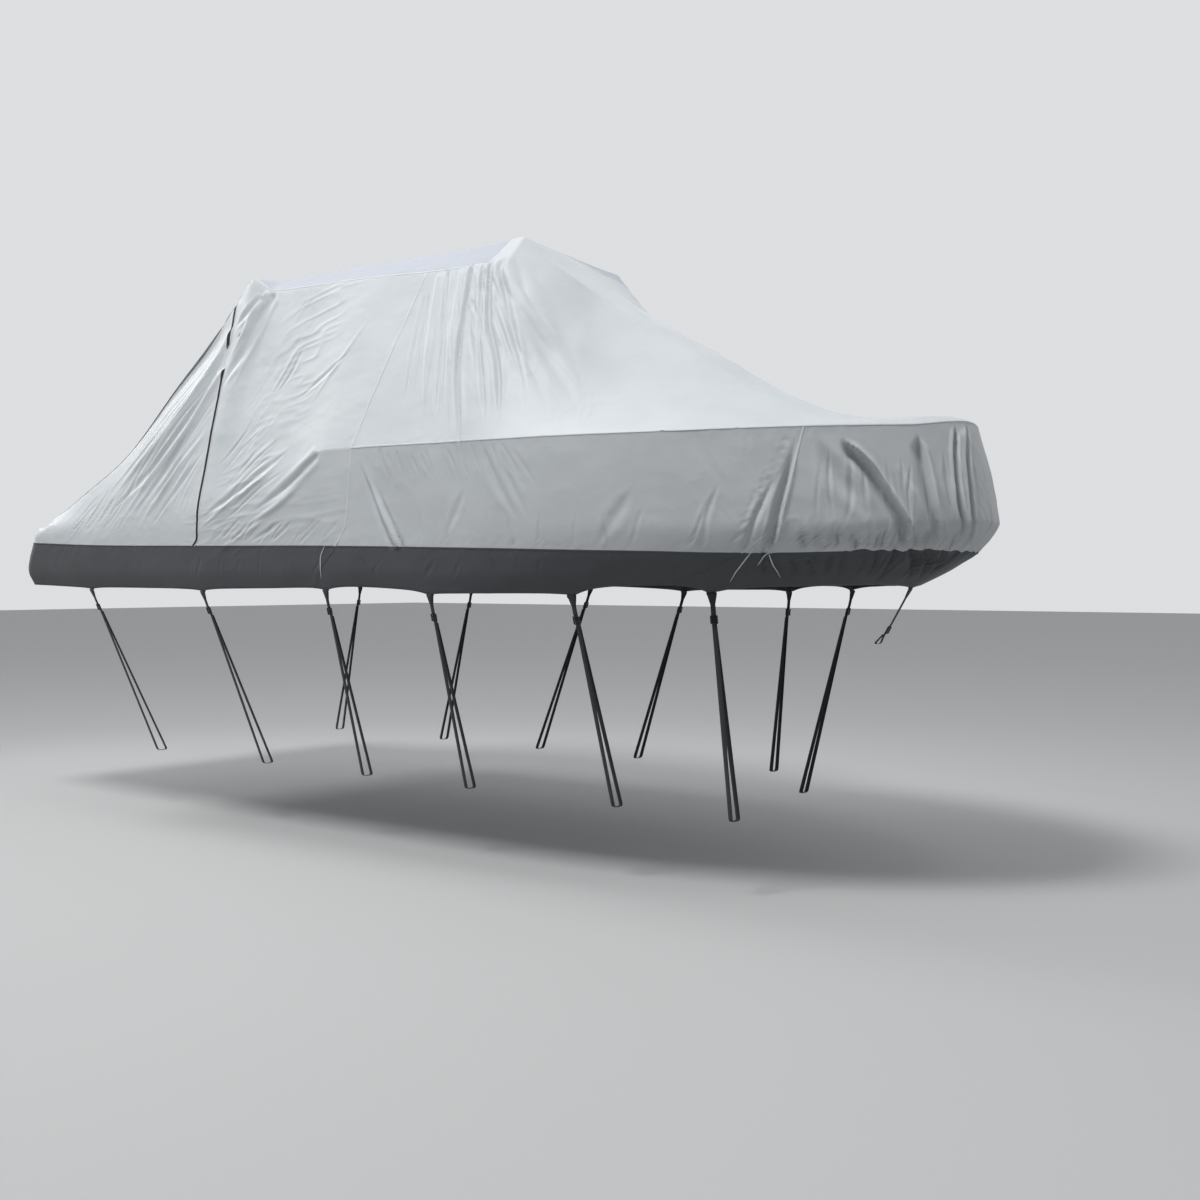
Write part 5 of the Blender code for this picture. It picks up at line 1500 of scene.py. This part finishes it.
def zip_line(name):
    """Points, outward normals and sideways directions down the middle of a zip's tape."""
    number = PANEL_NAMES.index(name)
    first = int(np.flatnonzero(WALL_PANEL[:, -1] == PANEL_NAMES.index("zip_lower"))[0])
    near, far = (first + step for step in ZIP_MIDDLE)
    lines = np.flatnonzero(TOP_PANEL[first] == number)
    rows = np.flatnonzero(WALL_PANEL[first] == number)
    ids = [np.concatenate([WALL_ID[j, rows], TOP_ID[j, lines]]) for j in (near, far)]
    middle = 0.5 * (SURFACE[ids[0]] + SURFACE[ids[1]])
    up = unit(SURFACE_NORMALS[ids[0]] + SURFACE_NORMALS[ids[1]])
    return middle, up, SURFACE[ids[1]] - SURFACE[ids[0]]


def zip_teeth(name):
    """The zip's chain: two rows of small teeth that mesh down its middle."""
    middle, up, side = zip_line(name)
    rows = stitch_rows(middle, side, up, (-TOOTH_OFF, TOOTH_OFF), TOOTH_PITCH, TOOTH)
    return mesh_object("teeth_" + name, PLASTIC, *rows)


def boxes_object(name, boxes, axes, rounding):
    """Blocks with rounded edges as one moulding; boxes holds each one's centre and size."""
    bm = bmesh.new()
    for centre, size in boxes:
        for vertex in bmesh.ops.create_cube(bm, size=1.0)["verts"]:
            vertex.co = Vector(centre + sum(axis * co * width for axis, co, width
                                            in zip(axes, vertex.co, size)))
    bmesh.ops.recalc_face_normals(bm, faces=bm.faces)
    mesh = bpy.data.meshes.new(name)
    bm.to_mesh(mesh)
    bm.free()
    obj = add_object(name, mesh, PLASTIC)
    bevel = obj.modifiers.new("edges", "BEVEL")
    bevel.width = rounding
    bevel.segments = 2
    return obj


def zip_slider(name, at_top):
    """The slider and its pull at one end of a zip."""
    middle, up, side = zip_line(name)
    k = -2 if at_top else 1
    down = unit(middle[k - 1] - middle[k]) if at_top else unit(middle[k] - middle[k + 1])
    axes = [down, unit(side[k]), up[k]]
    body_place = middle[k] + up[k] * 0.5 * SLIDER[2]
    pull_place = middle[k] + up[k] * (SLIDER[2] + PULL[2]) - np.array([0, 0, 0.5 * PULL[0]])
    return [boxes_object(kind + name, [(place, size)], axes, ZIP_ROUNDING * min(size))
            for kind, place, size in (("slider_", body_place, SLIDER),
                                      ("pull_", pull_place, PULL))]


def panel_trim(name, material, thread):
    """The seam strips and stitches of one panel, as objects."""
    pieces = []
    if SEAM_STRIPS[name]:
        pieces.append(mesh_object("seam_" + name, material, *joined(SEAM_STRIPS[name])))
    if SEAM_THREADS[name]:
        pieces.append(mesh_object("stitches_" + name, thread, *joined(SEAM_THREADS[name])))
    if name.startswith("zip_"):
        pieces += [zip_teeth(name), *zip_slider(name, name == "zip_lower")]
    # Painted highlight strips on the band's pleats.
    if name in PLEAT_HIGHLIGHT_LINES:
        pieces.append(mesh_object("pleat_highlights_" + name, SEAM_AND_HIGHLIGHT_GREY, *joined(pleat_highlights(name))))
    for piece in pieces:
        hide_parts(name)
    return pieces


# The panel's cloth, its seam strips, its thread and its slot, by the panel's kind.
# The grey panels' seam strips are real seams whose lighter tone is a painted highlight.
GREY_LOOK = (GREY, SEAM_AND_HIGHLIGHT_GREY, THREAD_GREY, "grey_cloth")
LOOKS = {
    # The roof panel takes the cloth with painted shade and a painted blue tint of sky light.
    "roof": (ROOF_PAINTED_SHADE_GREY, *GREY_LOOK[1:]),
    "band": (CHARCOAL, CHARCOAL, THREAD_DARK, "charcoal_cloth"),
    "zip": (TAPE, TAPE, THREAD_DARK, "zip_tape"),
}

for panel_number, panel_name in enumerate(PANEL_NAMES):
    vertices, faces, uvs, area, flat = panel_mesh(panel_number)
    material, trim, thread, slot = LOOKS.get(panel_name.split("_")[0], GREY_LOOK)
    piece = mesh_object("cloth_" + panel_name, material, vertices, faces, uvs)
    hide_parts(panel_name)
    pieces = panel_trim(panel_name, trim, thread)


# ---------------------------------------------------------------- straps and buckles
def rounded_path(corners):
    """A path through the corners with each turned corner rounded."""
    path = [corners[0]]
    for a, b, c in zip(corners[:-2], corners[1:-1], corners[2:]):
        cut = min(TURN, TURN_SHARE * math.dist(a, b), TURN_SHARE * math.dist(b, c))
        before = b + unit(a - b) * cut
        after = b + unit(c - b) * cut
        for j in range(CORNER_STEPS + 1):
            t = j / CORNER_STEPS
            path.append((1 - t) ** 2 * before + 2 * t * (1 - t) * b + t * t * after)
    path.append(corners[-1])
    counts = [max(1, int(math.dist(a, b) / STRAND_STEP)) for a, b in zip(path[:-1], path[1:])]
    return split(path, counts)[0]


def ribbon(name, path, acrosses, width, thickness):
    """Webbing swept along a path, its cross-section a flat rounded strip."""
    tangent = unit(np.gradient(path, axis=0))
    across = unit(acrosses - tangent * np.sum(acrosses * tangent, 1, keepdims=True))
    face = np.cross(tangent, across)
    widths = np.broadcast_to(width, len(path))[:, None, None]
    ring = path[:, None] + (across[:, None] * RIBBON_OUTLINE[:, :1] * widths
                            + face[:, None] * RIBBON_OUTLINE[:, 1:] * thickness) / 2
    count, n = ring.shape[:2]
    index = np.arange(count * n).reshape(count, n)
    closed = np.concatenate([index, index[:, :1]], 1)
    faces = cell_corners(closed.T).swapaxes(0, 1).reshape(-1, 4)
    flat = np.meshgrid(np.linspace(0, 2 * STRAP_WIDTH, n + 1), distances(path), indexing="ij")
    uv = cell_corners(np.stack(flat, -1)).swapaxes(0, 1).reshape(-1, 4, 2)
    caps = [ids[list(corners)] for ids in (index[0], index[-1][::-1])
            for corners in ((3, 2, 1, 0), (7, 4, 3, 0), (7, 6, 5, 4))]
    faces = np.concatenate([faces, caps])
    uv = np.concatenate([uv, np.zeros((len(caps), 4, 2))])
    return mesh_object(name, WEBBING, ring.reshape(-1, 3), faces, uv)


def facing(vector, wanted):
    """The vector, or its opposite where that lies nearer to the one wanted."""
    return -vector if np.dot(vector, wanted) < 0 else vector


def tab_path(hem, run, tab_end):
    """The path of a tab, from inside the hem, under its edge and down to the buckle."""
    ring = int(np.argmin(np.linalg.norm(SURFACE[WALL_ID[:, 0]] - hem, axis=1)))
    edge, inward = SURFACE[WALL_ID[ring, 0]], -SURFACE_NORMALS[WALL_ID[ring, 0]]
    rise = unit(SURFACE[WALL_ID[ring, 1]] - edge)
    inside = edge + inward * TAB_INSIDE
    bend = hem + run * TAB_BEND
    below = (inside + bend) / 2 - rise * TAB_DROP
    return np.concatenate([[inside + rise * TAB_LAP, inside + rise * TAB_LAP / 2, inside, below],
                           np.linspace(bend, tab_end, TAB_STEPS)])


def strap_pieces(name, side, *foot_place):
    """Tab, buckle and looped webbing of one strap, on the CAD's own places."""
    node = "buckle_" + name
    low, across = buckle_ring(node, False)
    hem, _ = buckle_ring(node, True)
    foot = np.array(foot_place) * (1, side or 1, 1) - HOLD_UP
    run = unit(foot - low)
    top = low - run * BUCKLE[1]
    at_foot = np.array([1.0, 0, 0]) if side else np.array([0, 1.0, 0])
    inboard = np.array([0, -side, 0.0]) if side else np.array([-1.0, 0, 0])
    across = facing(across, at_foot)
    back = facing(unit(np.cross(run, across)), inboard)
    corners = [top + run * STRAP_LAP + back * BEHIND,
               low + run * BELOW_BUCKLE[0] + back * BEHIND,
               foot,
               foot + inboard * (LOOP_WIDTH if side else BOW_LOOP_WIDTH),
               low + run * BELOW_BUCKLE[1] + back * (BEHIND + STRAND_PART)]
    long_tab = math.dist(top, hem) > LONG_TAB
    if long_tab:
        corners = [hem, top - run * STRAP_LAP] + corners
    path = rounded_path(corners)
    places = distances(path)
    twist = np.minimum(places, places[-1] - places) / math.dist(foot, low)
    twist = np.clip(twist, 0, 1)[:, None] * abs(side)
    webbing = ribbon("webbing_" + name, path, across * (1 - twist) + at_foot * twist,
                     STRAP_WIDTH, STRAP_THICKNESS)
    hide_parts("strap_" + name)
    tab_end = hem + run * SHORT_TAB if long_tab else top + run * TAB_INTO_BUCKLE
    tab_line = tab_path(hem, run, tab_end)
    widths = np.interp(np.linspace(0, 1, len(tab_line)), *TAB_WIDTHS)
    tab = ribbon("tab_" + name, tab_line, np.repeat([across], len(tab_line), 0), widths,
                 2 * STRAP_THICKNESS)
    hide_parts(node)
    buckle = ladder_buckle("buckle_frame_" + name, 0.5 * (top + low), run, across, back)
    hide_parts(node)


def ladder_buckle(name, centre, run, across, back):
    """Moulded ladder buckle: two side rails and four cross bars with rounded edges."""
    wide, tall, deep = BUCKLE
    out = 0.5 * (wide - RAIL_WIDTH)
    boxes = [(centre + across * u, (RAIL_WIDTH, tall, RAIL_DEPTH * deep)) for u in (-out, out)]
    boxes += [(centre + run * place * tall, (wide - BAR_SHORTER, height, depth * deep))
              for place, height, depth in BUCKLE_BARS]
    return boxes_object(name, boxes, (across, run, back), BUCKLE_ROUNDING)


for strap_row in STRAPS:
    strap_pieces(*strap_row)


# ---------------------------------------------------------------- floor, light and camera
FLOOR_Z = -3.50
CAMERA_PLACE = (6.023, -6.476, -1.95)
CAMERA_AHEAD = (-0.6018, 0.7986, 0.0)
LENS = 40.5
SHIFT_Y = -20 / 1200
FLOOR_REACH = 60.0

bm = bmesh.new()
bmesh.ops.create_grid(bm, x_segments=8, y_segments=8, size=FLOOR_REACH)
floor_mesh = bpy.data.meshes.new("floor")
bm.to_mesh(floor_mesh)
bm.free()
floor = bpy.data.objects.new("floor", floor_mesh)
floor.location = (0, 0, FLOOR_Z)
bpy.context.scene.collection.objects.link(floor)
FLOOR_PAINT = new_material("floor_paint", (0.39, 0.39, 0.39), 0.9)
floor_mesh.materials.append(FLOOR_PAINT)

# The studio's walls: even behind the part, brighter overhead and dim at the far right.
WALLS = (0.96, 0.98, 1.0)
WALLS_STRENGTH = 0.75
OVERHEAD_FROM = 0.42        # the direction's height at which the ceiling begins to brighten
OVERHEAD_GAIN = 1.20
DIM_SIDE = (0.66, -0.75, 0.0)
DIM_FROM = -0.15
DIM_SHARE = 0.30

world = bpy.data.worlds.new("studio")
bpy.context.scene.world = world
world.use_nodes = True
sky = world.node_tree.nodes["Background"]
sky.inputs["Color"].default_value = (*WALLS, 1.0)
links = world.node_tree.links


def eased(source, low, high, first, last):
    """A smooth step of a value, from first below low to last above high."""
    node = add_node(world.node_tree, "ShaderNodeMapRange", interpolation_type="SMOOTHSTEP",
                    **{"From Min": low, "From Max": high, "To Min": first, "To Max": last})
    links.new(source, node.inputs["Value"])
    return node.outputs["Result"]


direction = add_node(world.node_tree, "ShaderNodeTexCoord").outputs["Generated"]
parts = add_node(world.node_tree, "ShaderNodeSeparateXYZ")
links.new(direction, parts.inputs["Vector"])
sideways = add_node(world.node_tree, "ShaderNodeVectorMath", operation="DOT_PRODUCT")
sideways.inputs[1].default_value = DIM_SIDE
links.new(direction, sideways.inputs[0])
level = add_node(world.node_tree, "ShaderNodeMath", operation="MULTIPLY")
links.new(eased(parts.outputs["Z"], OVERHEAD_FROM, 1.0, WALLS_STRENGTH,
                WALLS_STRENGTH * OVERHEAD_GAIN), level.inputs[0])
links.new(eased(sideways.outputs["Value"], DIM_FROM, 1.0, 1.0, DIM_SHARE), level.inputs[1])
links.new(level.outputs["Value"], sky.inputs["Strength"])


def area_light(name, place, aim, size, power, colour, spread=180):
    data = bpy.data.lights.new(name, "AREA")
    data.shape = "SQUARE"
    data.size = size
    data.energy = power
    data.color = colour
    data.spread = math.radians(spread)
    lamp = bpy.data.objects.new(name, data)
    lamp.location = place
    lamp.rotation_euler = (Vector(aim) - Vector(place)).to_track_quat("-Z", "Y").to_euler()
    bpy.context.scene.collection.objects.link(lamp)


SOFT_WHITE = (0.985, 1.0, 1.0)
area_light("overhead", (0.7, -6.3, 9.9), (0.4, 0.0, -1.0), 3.4, 1450.0, SOFT_WHITE)
area_light("over_bow", (5.2, -1.0, 7.8), (1.2, 0.0, 0.0), 2.2, 14.0, SOFT_WHITE, 50)
area_light("from_astern", (-9.5, -1.2, 4.6), (-2.3, -0.4, -1.2), 2.4, 58.0, SOFT_WHITE, 60)
bpy.context.scene.view_settings.view_transform = "Standard"

camera_data = bpy.data.cameras.new("camera")
camera_data.sensor_width = 36.0
camera_data.lens = LENS
camera_data.shift_y = SHIFT_Y
camera = bpy.data.objects.new("camera", camera_data)
camera.location = CAMERA_PLACE
camera.rotation_euler = Vector(CAMERA_AHEAD).to_track_quat("-Z", "Y").to_euler()
bpy.context.scene.collection.objects.link(camera)
bpy.context.scene.camera = camera
